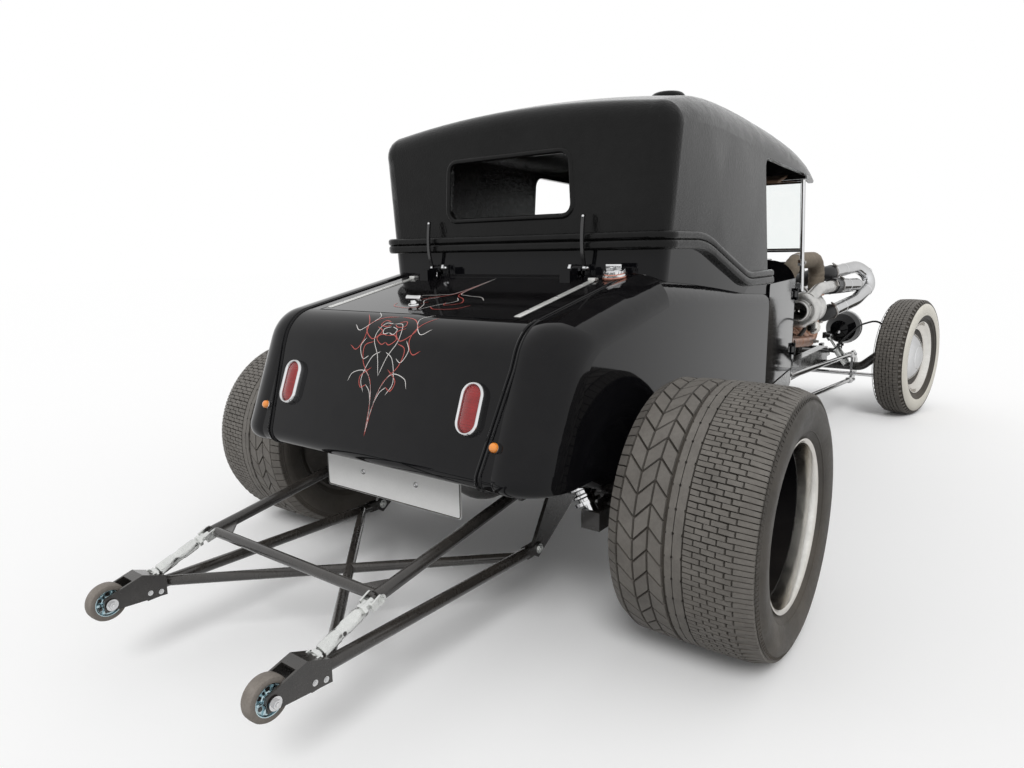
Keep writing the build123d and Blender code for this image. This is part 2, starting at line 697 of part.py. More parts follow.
def place_front(shape, side):
    """Puts a right-hand front piece on its kingpin, steered as at rest; side is 1 or -1."""
    if side < 0:
        shape = mirror(shape, about=Plane.YZ)
    return Pos(side * KINGPIN_X, WHEELBASE, 0) * Rot(0, 0, -STEER_AT_REST) * shape


def tie_rod():
    turn = radians(STEER_AT_REST)
    shift_x = -ARM_LENGTH * sin(turn)
    y = WHEELBASE - ARM_LENGTH * cos(turn)
    x0, x1 = -KINGPIN_X + shift_x, KINGPIN_X + shift_x
    bar = cylinder_x(x0, x1, y, TIE_ROD_Z, TIE_ROD_RADIUS)
    for x in (x0, x1):
        bar += cylinder_z(x, y, TIE_ROD_Z - 12, TIE_ROD_Z + 12, 16)
    for x in (x0, x1):
        bar -= cylinder_z(x, y, TIE_ROD_Z - 40, TIE_ROD_Z + 40, TIE_PIN_RADIUS + TURN_GAP)
    return bar


def front_axle():
    """A dropped tubular beam with bosses for the kingpins."""
    right = [(BEAM_STRAIGHT, BEAM_Z), (KINGPIN_X - 34, BEAM_END_Z), (KINGPIN_X, BEAM_END_Z)]
    middle_line = [(-x, z) for x, z in reversed(right)] + right
    beam = bent_tube([(x, WHEELBASE, z) for x, z in middle_line], [30, 60, 60, 30], BEAM_RADIUS)
    for x in (-KINGPIN_X, KINGPIN_X):
        beam += cylinder_z(x, WHEELBASE, BEAM_END_Z - 43.7, BEAM_END_Z + 43.7, 26)
        beam += cylinder_z(x, WHEELBASE, BEAM_END_Z - 64, BEAM_END_Z + 64, KINGPIN_RADIUS)
        perch = (SPRING_LEAVES[0] - 4) * (1 if x > 0 else -1)
        half, foot = SPRING_WIDTH / 2 - SEAT_GAP, PERCH_Z - 26
        beam += block(perch - 11, perch + 11, WHEELBASE, SPRING_Y + half, foot, foot + 15 - SEAT_GAP)
        beam += block(perch - 11, perch + 11, SPRING_Y - half, SPRING_Y + half, PERCH_Z - 26, PERCH_Z + 11)
        beam -= cylinder_y(perch, WHEELBASE + 26, SPRING_Y + 60, PERCH_Z, 7 + SEAT_GAP)
    return beam


def radius_rods():
    rods = []
    front_y = WHEELBASE - 70
    right = None
    for z, frame_z in ((ROD_UPPER_Z, ROD_UPPER_Z + 14), (ROD_LOWER_Z, ROD_LOWER_Z + 26)):
        bar = rod((ROD_AXLE_X, front_y, z), (ROD_FRAME_X, ROD_FRAME_Y, frame_z), ROD_RADIUS)
        bar += cylinder_x(ROD_FRAME_X - 12, ROD_FRAME_X + 12, ROD_FRAME_Y, frame_z, 18)
        right = bar if right is None else right + bar
    low, high = ROD_LOWER_Z - 20, ROD_UPPER_Z + 20
    outline = [(front_y - 22, low), (front_y - 22, high), (front_y + 20, high)]
    outline += [(WHEELBASE + 40, BEAM_Z + 36), (WHEELBASE + 40, BEAM_Z - 36), (front_y + 20, low)]
    wing = side_face(outline, ROD_AXLE_X - 6)
    wing = extrude(wing, amount=12)
    wing -= cylinder_x(ROD_AXLE_X - 20, ROD_AXLE_X + 20, WHEELBASE, BEAM_Z, BEAM_RADIUS + SEAT_GAP)
    right += wing
    return both(right)


def front_spring():
    """A cross leaf spring ahead of the axle, its shackles on the axle's perches."""
    y0, y1 = SPRING_Y - SPRING_WIDTH / 2, SPRING_Y + SPRING_WIDTH / 2
    spring = None
    for i, reach in enumerate(SPRING_LEAVES):
        z = SPRING_Z + i * 7
        sag = SPRING_SAG * (reach / SPRING_LEAVES[0]) ** 2
        low = ThreePointArc((-reach, z - sag), (0, z), (reach, z - sag))
        high = ThreePointArc((-reach, z - sag + 7), (0, z + 7), (reach, z - sag + 7))
        ends = [Line(low @ end, high @ end).edge() for end in (0, 1)]
        leaf = make_face([low.edge(), high.edge(), *ends])
        leaf = extrude(Plane.XZ.offset(-y1) * leaf, amount=y1 - y0)
        spring = leaf if spring is None else spring + leaf
    end_z = SPRING_Z - SPRING_SAG
    for side in (-1, 1):
        x = side * (SPRING_LEAVES[0] - 4)
        spring += cylinder_y(x, y0, y1, end_z, 12)
        for y in (y0 - 5, y1):
            spring += block(x - 9, x + 9, y, y + 5, PERCH_Z - 10, end_z + 10)
        spring += cylinder_y(x, y0 - 5, y1 + 5, PERCH_Z, 7)
    return spring


def brake_hoses():
    """A hose each side, from the frame rail up and over to the top of the kingpin."""
    outer = RAIL_X + RAIL_WIDTH / 2 + SEAT_GAP
    top = BEAM_END_Z + 64 + SEAT_GAP
    route = [(outer, 2702, 335), (362, 2702, 335), (420, 2718, 412), (488, 2752, 488), (560, 2806, 512),
             (KINGPIN_X, WHEELBASE, 462), (KINGPIN_X, WHEELBASE, top)]
    return both(bent_tube(route, [60, 75, 90, 75, 60], 5))


def frame():
    """Side rails that kick up over the rear axle, tied by cross tubes."""
    top = RAIL_BOTTOM + RAIL_HEIGHT
    kick_top = KICK_BOTTOM + KICK_HEIGHT
    outline = [(KICK_REAR_Y, KICK_BOTTOM), (260, KICK_BOTTOM), (400, RAIL_BOTTOM), (FRAME_FRONT_Y, RAIL_BOTTOM),
               (FRAME_FRONT_Y, top), (440, top), (300, kick_top), (KICK_REAR_Y, kick_top)]
    rail = extrude(side_face(outline, RAIL_X - RAIL_WIDTH / 2), amount=RAIL_WIDTH)
    body = rail + mirror(rail, about=Plane.YZ)
    mid = RAIL_BOTTOM + RAIL_HEIGHT / 2
    kick_mid = KICK_BOTTOM + 30
    cross_tubes = ((KICK_REAR_Y + 25, kick_mid, 25), (300, kick_mid, 22), (1180, RAIL_BOTTOM + 24, 22),
                   (FRAME_FRONT_Y - 190, mid, 25), (FRAME_FRONT_Y - 25, mid, 28))
    for y, z, radius in cross_tubes:
        body += cylinder_x(-RAIL_X, RAIL_X, y, z, radius)
    # Brackets for the upper wheelie bars and the radius rods
    for side in (-1, 1):
        x = side * BAR_X
        body += block(x - 6, x + 6, KICK_REAR_Y, KICK_REAR_Y + 60, UPPER_FRONT_Z - 24, KICK_BOTTOM + 10)
        rx = side * ROD_FRAME_X
        inner = side * (ROD_FRAME_X - 12 - SEAT_GAP)
        body += block(side * RAIL_X, inner, ROD_FRAME_Y - 40, ROD_FRAME_Y + 40, ROD_LOWER_Z, top - 4)
        rail_in, post = side * (RAIL_X - 25), side * (HEADLIGHT_X - 12 - SEAT_GAP)
        front = HEADLIGHT_Y - 8
        body += block(rail_in, post, front - 24, front, top - 30, top - 18)
        body += block(rail_in, side * (RAIL_X + 25), FRAME_FRONT_Y - 10, front, top - 60, top - 18)
    rail_outer = RAIL_X + RAIL_WIDTH / 2
    lug = block(rail_outer - 5, rail_outer + 62, -124, -76, KICK_BOTTOM + 6, KICK_BOTTOM + 66)
    lug -= coilover_axis(-SEAT_GAP, 100, TOP_STUB + SEAT_GAP)
    lug -= coilover_axis(14 - SEAT_GAP, 100, COIL_SEAT + 3)
    for piece in both(lug):
        body += piece
    spring_seat = SPRING_Z + 7 * len(SPRING_LEAVES) + SEAT_GAP
    body += block(-60, 60, FRAME_FRONT_Y - 30, SPRING_Y + SPRING_WIDTH / 2, spring_seat, spring_seat + 14)
    body += block(-60, 60, FRAME_FRONT_Y - 50, FRAME_FRONT_Y, mid, spring_seat + 14)
    return body


def pan_top(y):
    """The floor pan's upper face at y: the trunk floor, the step down, then the cabin floor."""
    high, low = KICK_BOTTOM + KICK_HEIGHT, RAIL_BOTTOM + RAIL_HEIGHT
    share = min(1, max(0, (y - STEP_HEAD_Y) / (STEP_FOOT_Y - STEP_HEAD_Y)))
    return high + (low - high) * share + PAN_THICKNESS + SEAT_GAP


def floor_pan():
    top = RAIL_BOTTOM + RAIL_HEIGHT
    side = SIDE_X - BODY_WALL - SEAT_GAP
    low, high = top + SEAT_GAP, pan_top(DOOR_REAR_Y)
    toe_half = COWL_HALF_FRONT - BODY_WALL - 2
    pan = block(-side, side, STEP_FOOT_Y, DOOR_REAR_Y, low, high)
    pan += block(-toe_half, toe_half, DOOR_REAR_Y, FIREWALL_Y - BODY_WALL - 4, low, high)
    trunk_low, trunk_high = KICK_BOTTOM + KICK_HEIGHT + SEAT_GAP, pan_top(TAIL_Y)
    rear, foot = tail_y(trunk_low) + 2.5 * BODY_WALL, STEP_FOOT_Y + 10
    under = [(rear, trunk_low), (STEP_HEAD_Y, trunk_low), (foot, low), (foot, high)]
    step = side_face(under + [(STEP_FOOT_Y, high), (STEP_HEAD_Y, trunk_high), (rear, trunk_high)], -TRUNK_HALF)
    pan += extrude(step, amount=2 * TRUNK_HALF)
    y0, y1 = DOOR_REAR_Y + 20 + SEAT_GAP, DOOR_FRONT_Y - SEAT_GAP
    inner = COWL_HALF_FRONT - 40
    sill = make_face(Polyline((SIDE_X - 2, y0), (COWL_HALF_REAR, y1), (inner, y1), (inner, y0), close=True))
    sill = Pos(0, 0, BODY_BOTTOM) * extrude(sill, amount=DOOR_BOTTOM - DOOR_GAP - BODY_BOTTOM)
    rail = block(0, RAIL_X + RAIL_WIDTH / 2 + SEAT_GAP, 400, 2000, 0, top + SEAT_GAP)
    for piece in both(sill - rail):
        pan += piece
    return pan


def rear_axle():
    z = REAR_TYRE_RADIUS
    flange_x = REAR_TYRE_X + REAR_DISC_OFFSET - 22
    axle = cylinder_x(-flange_x, flange_x, 0, z, AXLE_TUBE_RADIUS)
    axle += Pos(0, 0, z) * Sphere(112)
    axle += cylinder_y(0, 0, 190, z, 48)
    for side in (-1, 1):
        axle += cylinder_x(side * (flange_x - 22), side * flange_x, 0, z, 70)
        axle += cylinder_x(side * flange_x, side * (flange_x + 50), 0, z, 28)
        x = side * BAR_X
        pin_y, pin_z = LOWER_FRONT_Y, LOWER_FRONT_Z
        outline = [(38, z + 52), (-45, z + 52), (pin_y - 26, pin_z - 6), (pin_y + 6, pin_z - 28), (38, z - 60)]
        axle += extrude(side_face(outline, x - 5), amount=10) - cylinder_x(x - 20, x + 20, pin_y, pin_z, 8 + SEAT_GAP)
    lug = block(COILOVER_LOW[0] - 26, COILOVER_LOW[0] + 26, -124, -60, z - 72, z - 24)
    lug += block(COILOVER_LOW[0] - 14, COILOVER_LOW[0] + 14, -64, 0, z - 66, z - 14)
    lug -= coilover_axis(0, COILOVER_LENGTH - 35, COIL_SEAT + 3)
    lug -= coilover_axis(0, COILOVER_LENGTH + SEAT_GAP, LOW_STUB + SEAT_GAP)
    for piece in both(lug):
        axle += piece
    return axle


def coilover_axis(start, end, radius):
    """A round bar on the right spring unit's axis, from start to end along it."""
    low, top = Vector(*COILOVER_LOW), Vector(*COILOVER_TOP)
    bar = Pos(0, 0, (start + end) / 2) * Cylinder(radius, end - start)
    return Plane(COILOVER_TOP, z_dir=low - top).location * bar


def coilovers():
    """Rear spring units, from the frame down and out to the axle."""
    outline = [(0, 0), (TOP_STUB, 0), (TOP_STUB, 14), (COIL_SEAT, 14), (COIL_SEAT, 22), (22, 22)]
    for i in range(COILS):
        start = 24 + i * COIL_PITCH
        outline += [(22, start), (32, start + 4), (32, start + 9), (22, start + 13)]
    end = 24 + COILS * COIL_PITCH
    outline += [(22, end), (COIL_SEAT, end), (COIL_SEAT, end + 8), (LOW_STUB, end + 8),
                (LOW_STUB, COILOVER_LENGTH), (0, COILOVER_LENGTH)]
    unit = revolve(Plane.XZ * make_face(Polyline(*outline, close=True)), axis=Axis.Z)
    low, top = Vector(*COILOVER_LOW), Vector(*COILOVER_TOP)
    return both(Plane(COILOVER_TOP, z_dir=low - top).location * unit)


def wheelie_bars():
    """Upper and lower bars with their cross braces and turnbuckles, and a fork at each rear end."""
    low_y, low_z = LOWER_FRONT_Y, LOWER_FRONT_Z
    end_y, end_z = LOWER_REAR_Y, LOWER_REAR_Z
    fork = [(end_y + 30, end_z - 22), (end_y + 30, end_z + 24), (end_y - 20, end_z + 44),
            (CASTER_Y - 14, CASTER_Z + 16), (CASTER_Y - 14, CASTER_Z - 14)]
    cover = [(end_y + 30, end_z + 24), (end_y - 20, end_z + 44), (end_y - 42, end_z + 38),
             (end_y - 42, end_z + 34), (end_y - 20, end_z + 39), (end_y + 30, end_z + 18)]
    frame_piece = None
    for side in (-1, 1):
        x = side * BAR_X
        upper = rod((x, UPPER_FRONT_Y, UPPER_FRONT_Z), (x, UPPER_REAR_Y, UPPER_REAR_Z), BAR_RADIUS)
        lower = rod((x, low_y - 44, low_z), (x, end_y, end_z), BAR_RADIUS)
        for ear in (-1, 1):
            ear_x = x + ear * (5 + SEAT_GAP + 3)
            lower += block(ear_x - 3, ear_x + 3, low_y - 50, low_y + 14, low_z - 13, low_z + 13)
        lower += cylinder_x(x - 14, x + 14, low_y, low_z, 8)
        brace = rod((x, low_y - 70, low_z), (-x, end_y + 40, end_z), BRACE_RADIUS)
        part = upper + lower + brace
        start, end = Vector(x, UPPER_REAR_Y, UPPER_REAR_Z), Vector(x, end_y - 8, end_z + 18)
        part += rod(tuple(start), tuple(end), BUCKLE_ROD_RADIUS)
        near, far = start * 0.72 + end * 0.28, start * 0.22 + end * 0.78
        part += rod(tuple(near), tuple(far), BUCKLE_RADIUS)
        # The fork for the caster wheel
        for cheek in (-1, 1):
            cx = x + cheek * (CASTER_WIDTH / 2 + MOVE_GAP + 2.5)
            part += extrude(side_face(fork, cx - 2.5), amount=5)
        part += block(x - 22, x + 22, end_y - 14, end_y + 30, end_z - 22, end_z + 24)
        part += extrude(side_face(cover, x - 25), amount=50)
        part += cylinder_x(x - 28, x + 28, CASTER_Y, CASTER_Z, 5)
        frame_piece = part if frame_piece is None else frame_piece + part
    tie_y = UPPER_REAR_Y + 6
    return frame_piece + rod((-BAR_X, tie_y, UPPER_REAR_Z), (BAR_X, tie_y, UPPER_REAR_Z), BRACE_RADIUS)


def caster_wheel(side):
    x = side * BAR_X
    wheel = cylinder_x(x - CASTER_WIDTH / 2, x + CASTER_WIDTH / 2, CASTER_Y, CASTER_Z, CASTER_RADIUS)
    wheel = fillet(wheel.edges(), 5)
    return wheel - cylinder_x(x - 40, x + 40, CASTER_Y, CASTER_Z, 5 + TURN_GAP)


def number_plate():
    """A blank plate under the tail, hung from the tail's curl by a bar with two tabs."""
    top = TAIL_BOTTOM - 4
    y = PLATE_Y
    plate = block(-PLATE_WIDTH / 2, PLATE_WIDTH / 2, y, y + 3, top - PLATE_HEIGHT, top)
    plate = fillet(plate.edges().filter_by(Axis.Y), 8)
    plate += block(-150, 150, y + 3, y + 10, top - 60, top - 40)
    for x in (-PLATE_BOLT_X, PLATE_BOLT_X):
        plate -= cylinder_y(x, y - 5, y + 15, top - PLATE_BOLT_DROP, PLATE_BOLT_RADIUS)
    for x in (-120, 120):
        plate += block(x - 12, x + 12, y + 8, y + 12, top - 60, top - 8)
        plate += block(x - 12, x + 12, y + 8, y + 52, top - 8, TAIL_BOTTOM - SEAT_GAP)
    return plate


def rear_lamps():
    """Oval tail lights that fit the rolled tail, and round marker lamps beyond the seams."""
    lamps = []
    tail = extrude(body_side_face(-SEAM_X, -SEAT_GAP, 0), amount=2 * SEAM_X)
    up, out = Vector(0, TAIL_LEAN, 1).normalized(), Vector(0, -1, TAIL_LEAN).normalized()
    for side in (-1, 1):
        middle = Vector(side * TAIL_LIGHT_X, tail_y(TAIL_LIGHT_Z), TAIL_LIGHT_Z) - out * 30
        lens = Plane(middle, x_dir=up, z_dir=out) * SlotOverall(TAIL_LIGHT_HEIGHT, TAIL_LIGHT_WIDTH)
        lamps.append(extrude(lens, amount=30 + LAMP_DEPTH) - tail)
    y = tail_y(MARKER_Z)
    marker = cylinder_y(MARKER_X, y - 14, y + 30, MARKER_Z, 11)
    marker -= quarter_solid(-SEAT_GAP)
    return lamps + both(marker)


def engine():
    """The engine as plain forms: block, head, sump, gearbox, valve cover and crank pulley."""
    body = block(*ENGINE_BLOCK)
    for form in (ENGINE_HEAD, ENGINE_SUMP, GEARBOX):
        body += block(*form)
    body += fillet(block(*VALVE_COVER).edges().group_by(Axis.Z)[-1], 18)
    body += cylinder_y(0, ENGINE_FRONT_Y, ENGINE_FRONT_Y + 40, PULLEY_Z, PULLEY_RADIUS)
    rail_face = RAIL_X - RAIL_WIDTH / 2 - SEAT_GAP
    body += block(-rail_face, rail_face, 2080, 2130, RAIL_BOTTOM + 44, RAIL_BOTTOM + 84)
    return body


def headers():
    """Four primary pipes down to a low collector that turns up at its front end."""
    x, y = COLLECTOR_X, COLLECTOR_UP_Y
    pipes = bent_tube([(x, 1792, 490), (x, y, 452), (x, y, COLLECTOR_TOP)], [75], 26)
    pipes += cylinder_z(x, y, COLLECTOR_TOP - 8, COLLECTOR_TOP, 42)
    for port_y in HEADER_PORTS:
        port = (BLOCK_HALF + SEAT_GAP, port_y, HEADER_PORT_Z)
        pipes += bent_tube([port, (275, port_y, HEADER_PORT_Z), (x, port_y + 12, 480)], [60], 19)
    return pipes


def turbocharger():
    """Compressor behind with its round inlet, turbine in front, and the outlet snout."""
    x, z = TURBO_X, TURBO_Z
    snail = fillet(cylinder_y(x, 1850, 1930, z, 82).edges(), 22)
    snail += cylinder_y(x, 1815, 1860, z, 46)
    snail -= cylinder_y(x, 1800, 1850, z, 38)
    snail += cylinder_y(x, 1925, 2010, z, 42)
    snail += fillet(cylinder_y(x, 2000, 2066, z, 70).edges(), 18)
    outlet = [(x + 30, 1890, z + 55), (TURBO_OUT_X, 1960, TURBO_OUT_Z), (TURBO_OUT_X, TURBO_OUT_Y, TURBO_OUT_Z)]
    snail += bent_tube(outlet, [90], TURBO_OUT_RADIUS)
    snail += cylinder_y(x, 2060, COLLECTOR_UP_Y - 26 - SEAT_GAP, z, 30)
    return snail


def wrapped_pipe():
    """The heat-wrapped pipe: up from the collector, over, and down beside the engine."""
    x, y = COLLECTOR_X, COLLECTOR_UP_Y
    route = [(x, y, COLLECTOR_TOP + SEAT_GAP), (x, y, WRAP_TOP_Z), (x - 10, 1838, WRAP_TOP_Z)]
    route += [(WRAP_FOOT_X, 1806, 690), (WRAP_FOOT_X, 1806, 430)]
    return bent_tube(route, [88, 75, 90], WRAP_RADIUS)


def charge_pipes():
    """Two polished bends: the upper one turns back under itself."""
    first = bent_tube(CHARGE_FIRST, [120, 55, 200], CHARGE_RADIUS)
    second = bent_tube(CHARGE_SECOND, [70, 80], CHARGE_RADIUS)
    return [first, second]


def sleeve(pipe_end, pipe_next, middle, other_end, bends, reach=28):
    """A rubber hose slipped over a pipe's end; it runs by the middle points into what it seals on."""
    end, nxt = Vector(*pipe_end), Vector(*pipe_next)
    inward = (nxt - end).normalized()
    start = end + inward * reach
    points = [tuple(start)] + [tuple(end - inward * 12)] + middle + [other_end]
    hose = bent_tube(points, bends, CHARGE_RADIUS + 6)
    return hose - rod(tuple(start + inward * 2), tuple(end - inward * 1), CHARGE_RADIUS + SEAT_GAP)


def hoses():
    """Black hoses on the ends of the polished pipes, each cut off flat where it seals."""
    head = block(0, HEAD_RIGHT + SEAT_GAP, 2200, 2450, 600, 900)
    side = block(0, BLOCK_HALF + SEAT_GAP, 2200, 2450, 400, 700)
    snout = block(300, 600, 2100, TURBO_OUT_Y + SEAT_GAP, 600, 900)
    first, second = CHARGE_FIRST, CHARGE_SECOND
    to_head, to_side = (HEAD_RIGHT - 40, 2330, 683), (BLOCK_HALF - 30, 2300, 560)
    to_snout = (TURBO_OUT_X - 2, TURBO_OUT_Y - 10, TURBO_OUT_Z)
    return [
        sleeve(first[0], first[1], [(330, 2330, 775)], to_head, [40, 60]) - head,
        sleeve(first[-1], first[-2], [(366, 2290, 572)], to_side, [40, 60]) - side,
        sleeve(second[0], second[1], [], to_snout, [60]) - snout,
    ]


def radiator():
    """An arched shell round its core, with upright bars in front."""
    foot = RAIL_BOTTOM + RAIL_HEIGHT / 2 + 25 + SEAT_GAP
    half, top, y = RADIATOR_HALF, RADIATOR_TOP, RADIATOR_Y

    def arched(side, y0, y1, low, high, round_radius):
        form = block(-side, side, y0, y1, low, high)
        return fillet(form.edges().filter_by(Axis.Y).group_by(Axis.Z)[-1], round_radius)

    body = arched(half, y - 40, y + 40, foot, top, 90)
    body -= arched(half - 25, y - 50, y + 50, foot + 22, top - 28, 70)
    body += arched(half - 23, y - 25, y + 5, foot + 20, top - 25, 70)
    pitch = 2 * GRILLE_REACH / (GRILLE_BARS - 1)
    for i in range(GRILLE_BARS):
        x = -GRILLE_REACH + i * pitch
        bar_top = top - 100 if i in (0, GRILLE_BARS - 1) else top - 22
        body += block(x - 3, x + 3, y + 12, y + 26, foot + 10, bar_top)
    return body


def headlights():
    right = Pos(HEADLIGHT_X, HEADLIGHT_Y, HEADLIGHT_Z) * revolve_bucket()
    right += cylinder_z(HEADLIGHT_X, HEADLIGHT_Y - 20, HEADLIGHT_Z - 150, HEADLIGHT_Z - 70, 12)
    return both(right)


def revolve_bucket():
    r = HEADLIGHT_RADIUS
    shape = [(0, 62), (r - 12, 62), (r, 50), (r, 20), (r * 0.86, -30), (r * 0.5, -75), (0, -92)]
    face = Plane.XY * make_face(Polyline(*shape, close=True))
    return revolve(face, axis=Axis.Y)


def seat():
    """A bench: its back stands on the sloped step of the floor, close behind the cushion."""
    foot_z = pan_top(SEAT_FRONT_Y) + SEAT_GAP
    cushion = block(-SEAT_HALF, SEAT_HALF, SEAT_BACK_Y + SEAT_GAP, SEAT_FRONT_Y, foot_z, SEAT_TOP)
    cushion = fillet(cushion.edges(), SEAT_ROUND)
    rear_y = SEAT_BACK_Y - SEAT_BACK_DEPTH
    foot = [(y, pan_top(y) + 1.5 * SEAT_GAP) for y in (rear_y, STEP_FOOT_Y, SEAT_BACK_Y)]
    outline = foot + [(SEAT_BACK_Y, SEAT_BACK_TOP), (rear_y, SEAT_BACK_TOP)]
    back = extrude(side_face(outline, -SEAT_HALF), amount=2 * SEAT_HALF)
    back = fillet(back.edges().group_by(Axis.Z)[-1], SEAT_ROUND)
    return [cushion, back]


def steering_wheel():
    """The wheel on its column, which runs to the firewall and hangs from the dash by a bracket."""
    centre = Vector(*STEERING_CENTRE)
    direction = Vector(0, 1, -COLUMN_SLOPE).normalized()
    radius = STEERING_RADIUS
    ring = Plane(centre, z_dir=direction) * Torus(radius, 11)
    ring += rod(tuple(centre), tuple(centre + direction * 700), 20)
    y, top = DOOR_FRONT_Y + 8, DASH_BOTTOM - SEAT_GAP
    ring += block(centre.X - 22, centre.X + 22, y, y + 15, DASH_BOTTOM - 50, top)
    wall_y = FIREWALL_Y - BODY_WALL - SEAT_GAP
    ring -= block(centre.X - 60, centre.X + 60, wall_y, wall_y + 450, 0, 900)
    for angle in (90, 210, 330):
        spoke = Rot(0, 0, angle) * Pos(radius / 2, 0, 0) * Box(radius, 22, 5)
        ring += Plane(centre, z_dir=direction) * spoke
    return ring


def windshield():
    """Two posts with their cowl brackets, a bar above and below the glass, and the mirror."""
    body = None
    slope = (WIND_LOW_Y - WIND_TOP_Y) / (WIND_TOP_Z - WIND_LOW_Z)

    def post_y(z):
        return WIND_TOP_Y + slope * (WIND_TOP_Z - z)

    for side in (-1, 1):
        x = side * WIND_POST_X
        top = (x, WIND_TOP_Y, WIND_TOP_Z + WIND_BAR_RADIUS - 2)
        post = rod((x, post_y(POST_FOOT_Z), POST_FOOT_Z), top, POST_RADIUS)
        body = post if body is None else body + post
        for z in (POST_FOOT_Z + 20, POST_FOOT_Z + 120):
            y0, y1 = post_y(z) - 16, post_y(z) + 16
            foot = make_face(Polyline((cowl_side(y0) + SEAT_GAP, y0), (WIND_POST_X, y0), (WIND_POST_X, y1),
                                      (cowl_side(y1) + SEAT_GAP, y1), close=True))
            foot = Pos(0, 0, z - 13) * extrude(foot, amount=26)
            body += foot if side > 0 else mirror(foot, about=Plane.YZ)
    for y, z in ((WIND_TOP_Y, WIND_TOP_Z), (WIND_LOW_Y, WIND_LOW_Z)):
        body += cylinder_x(-WIND_POST_X, WIND_POST_X, y, z, WIND_BAR_RADIUS)
    return body


def windshield_glass():
    low, high = Vector(0, WIND_LOW_Y, WIND_LOW_Z), Vector(0, WIND_TOP_Y, WIND_TOP_Z)
    along = (high - low).normalized() * (WIND_BAR_RADIUS + SEAT_GAP)
    low, high = low + along, high - along
    length = (high - low).length
    tilt = degrees(atan2(low.Y - high.Y, high.Z - low.Z))
    pane = Box(2 * (WIND_POST_X - POST_RADIUS - SEAT_GAP), 5, length)
    return Pos(*((low + high) * 0.5)) * Rot(tilt, 0, 0) * pane


def build_parts():
    parts = {
        "frame": frame(),
        "floor_pan": floor_pan(),
        "quarter_right": quarter_right(),
        "tail_panel": tail_panel(),
        "deck_surround": deck_surround(),
        "deck_lid": deck_lid(),
        "deck_fittings": deck_fittings(),
        "cowl": cowl(),
        "door_right": door_right(),
        "hard_top": hard_top(),
        "windshield_frame": windshield(),
        "windshield_glass": windshield_glass(),
        "seat": seat(),
        "steering_wheel": steering_wheel(),
        "engine": engine(),
        "headers": headers(),
        "turbocharger": turbocharger(),
        "wrapped_pipe": wrapped_pipe(),
        "charge_pipes": charge_pipes(),
        "hoses": hoses(),
        "radiator": radiator(),
        "headlights": headlights(),
        "front_axle": [front_axle(), front_spring()],
        "brake_hoses": brake_hoses(),
        "radius_rods": radius_rods(),
        "tie_rod": tie_rod(),
        "rear_axle": rear_axle(),
        "coilovers": coilovers(),
        "wheelie_bars": wheelie_bars(),
        "number_plate": number_plate(),
        "rear_lamps": rear_lamps(),
    }
    parts["quarter_left"] = mirror(parts["quarter_right"], about=Plane.YZ)
    parts["door_left"] = mirror(parts["door_right"], about=Plane.YZ)
    rear_tyre, wheel = tyre(REAR_TYRE_RADIUS, REAR_TYRE_WIDTH, REAR_RIM_WIDTH), rear_wheel()
    front_tyre = tyre(FRONT_TYRE_RADIUS, FRONT_TYRE_WIDTH, FRONT_RIM_WIDTH)
    front_rim, knuckle = front_wheel(), front_corner()
    hub = Pos(HUB_OFFSET, 0, FRONT_TYRE_RADIUS)
    for name, side in (("left", -1), ("right", 1)):
        to_rear = Pos(side * REAR_TYRE_X, 0, REAR_TYRE_RADIUS)
        flip = Rot(0, 0, 180) if side < 0 else Rot(0, 0, 0)
        parts[f"rear_tyre_{name}"] = to_rear * flip * rear_tyre
        parts[f"rear_wheel_{name}"] = to_rear * flip * wheel
        parts[f"front_tyre_{name}"] = place_front(hub * front_tyre, side)
        parts[f"front_wheel_{name}"] = [place_front(hub * piece, side) for piece in front_rim]
        parts[f"knuckle_{name}"] = place_front(knuckle, side)
        parts[f"caster_wheel_{name}"] = caster_wheel(side)
    return parts


def write_parts(parts):
    os.makedirs("parts", exist_ok=True)
    shapes = {name: Compound(children=list(s)) if isinstance(s, list) else s for name, s in parts.items()}
    boxes = [shape.bounding_box() for shape in shapes.values()]
    middle = (min(b.min.Y for b in boxes) + max(b.max.Y for b in boxes)) / 2
    print("rear axle at Y", -middle)
    for name, shape in shapes.items():
        export_step(Pos(0, -middle, 0) * shape, f"parts/{name}.step")


write_parts(build_parts())
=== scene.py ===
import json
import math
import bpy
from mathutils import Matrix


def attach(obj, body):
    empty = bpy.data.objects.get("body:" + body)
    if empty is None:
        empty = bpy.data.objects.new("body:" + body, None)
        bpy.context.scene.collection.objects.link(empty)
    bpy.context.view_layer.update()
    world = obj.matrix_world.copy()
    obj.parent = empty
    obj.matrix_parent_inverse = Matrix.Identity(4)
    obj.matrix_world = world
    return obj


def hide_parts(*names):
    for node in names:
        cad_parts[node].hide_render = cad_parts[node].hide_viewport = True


bl_info = {
    "name": "Street Rod Roadster",
    "version": (1, 0, 0),
    "blender": (4, 5, 0),
    "location": "View3D > Sidebar > Street Rod",
    "description": "Dresses the street rod's solids with tyres, trim, engine detail and finishes",
    "category": "Object",
}

import bmesh
import bpy
from mathutils import Matrix, Vector
from mathutils.bvhtree import BVHTree

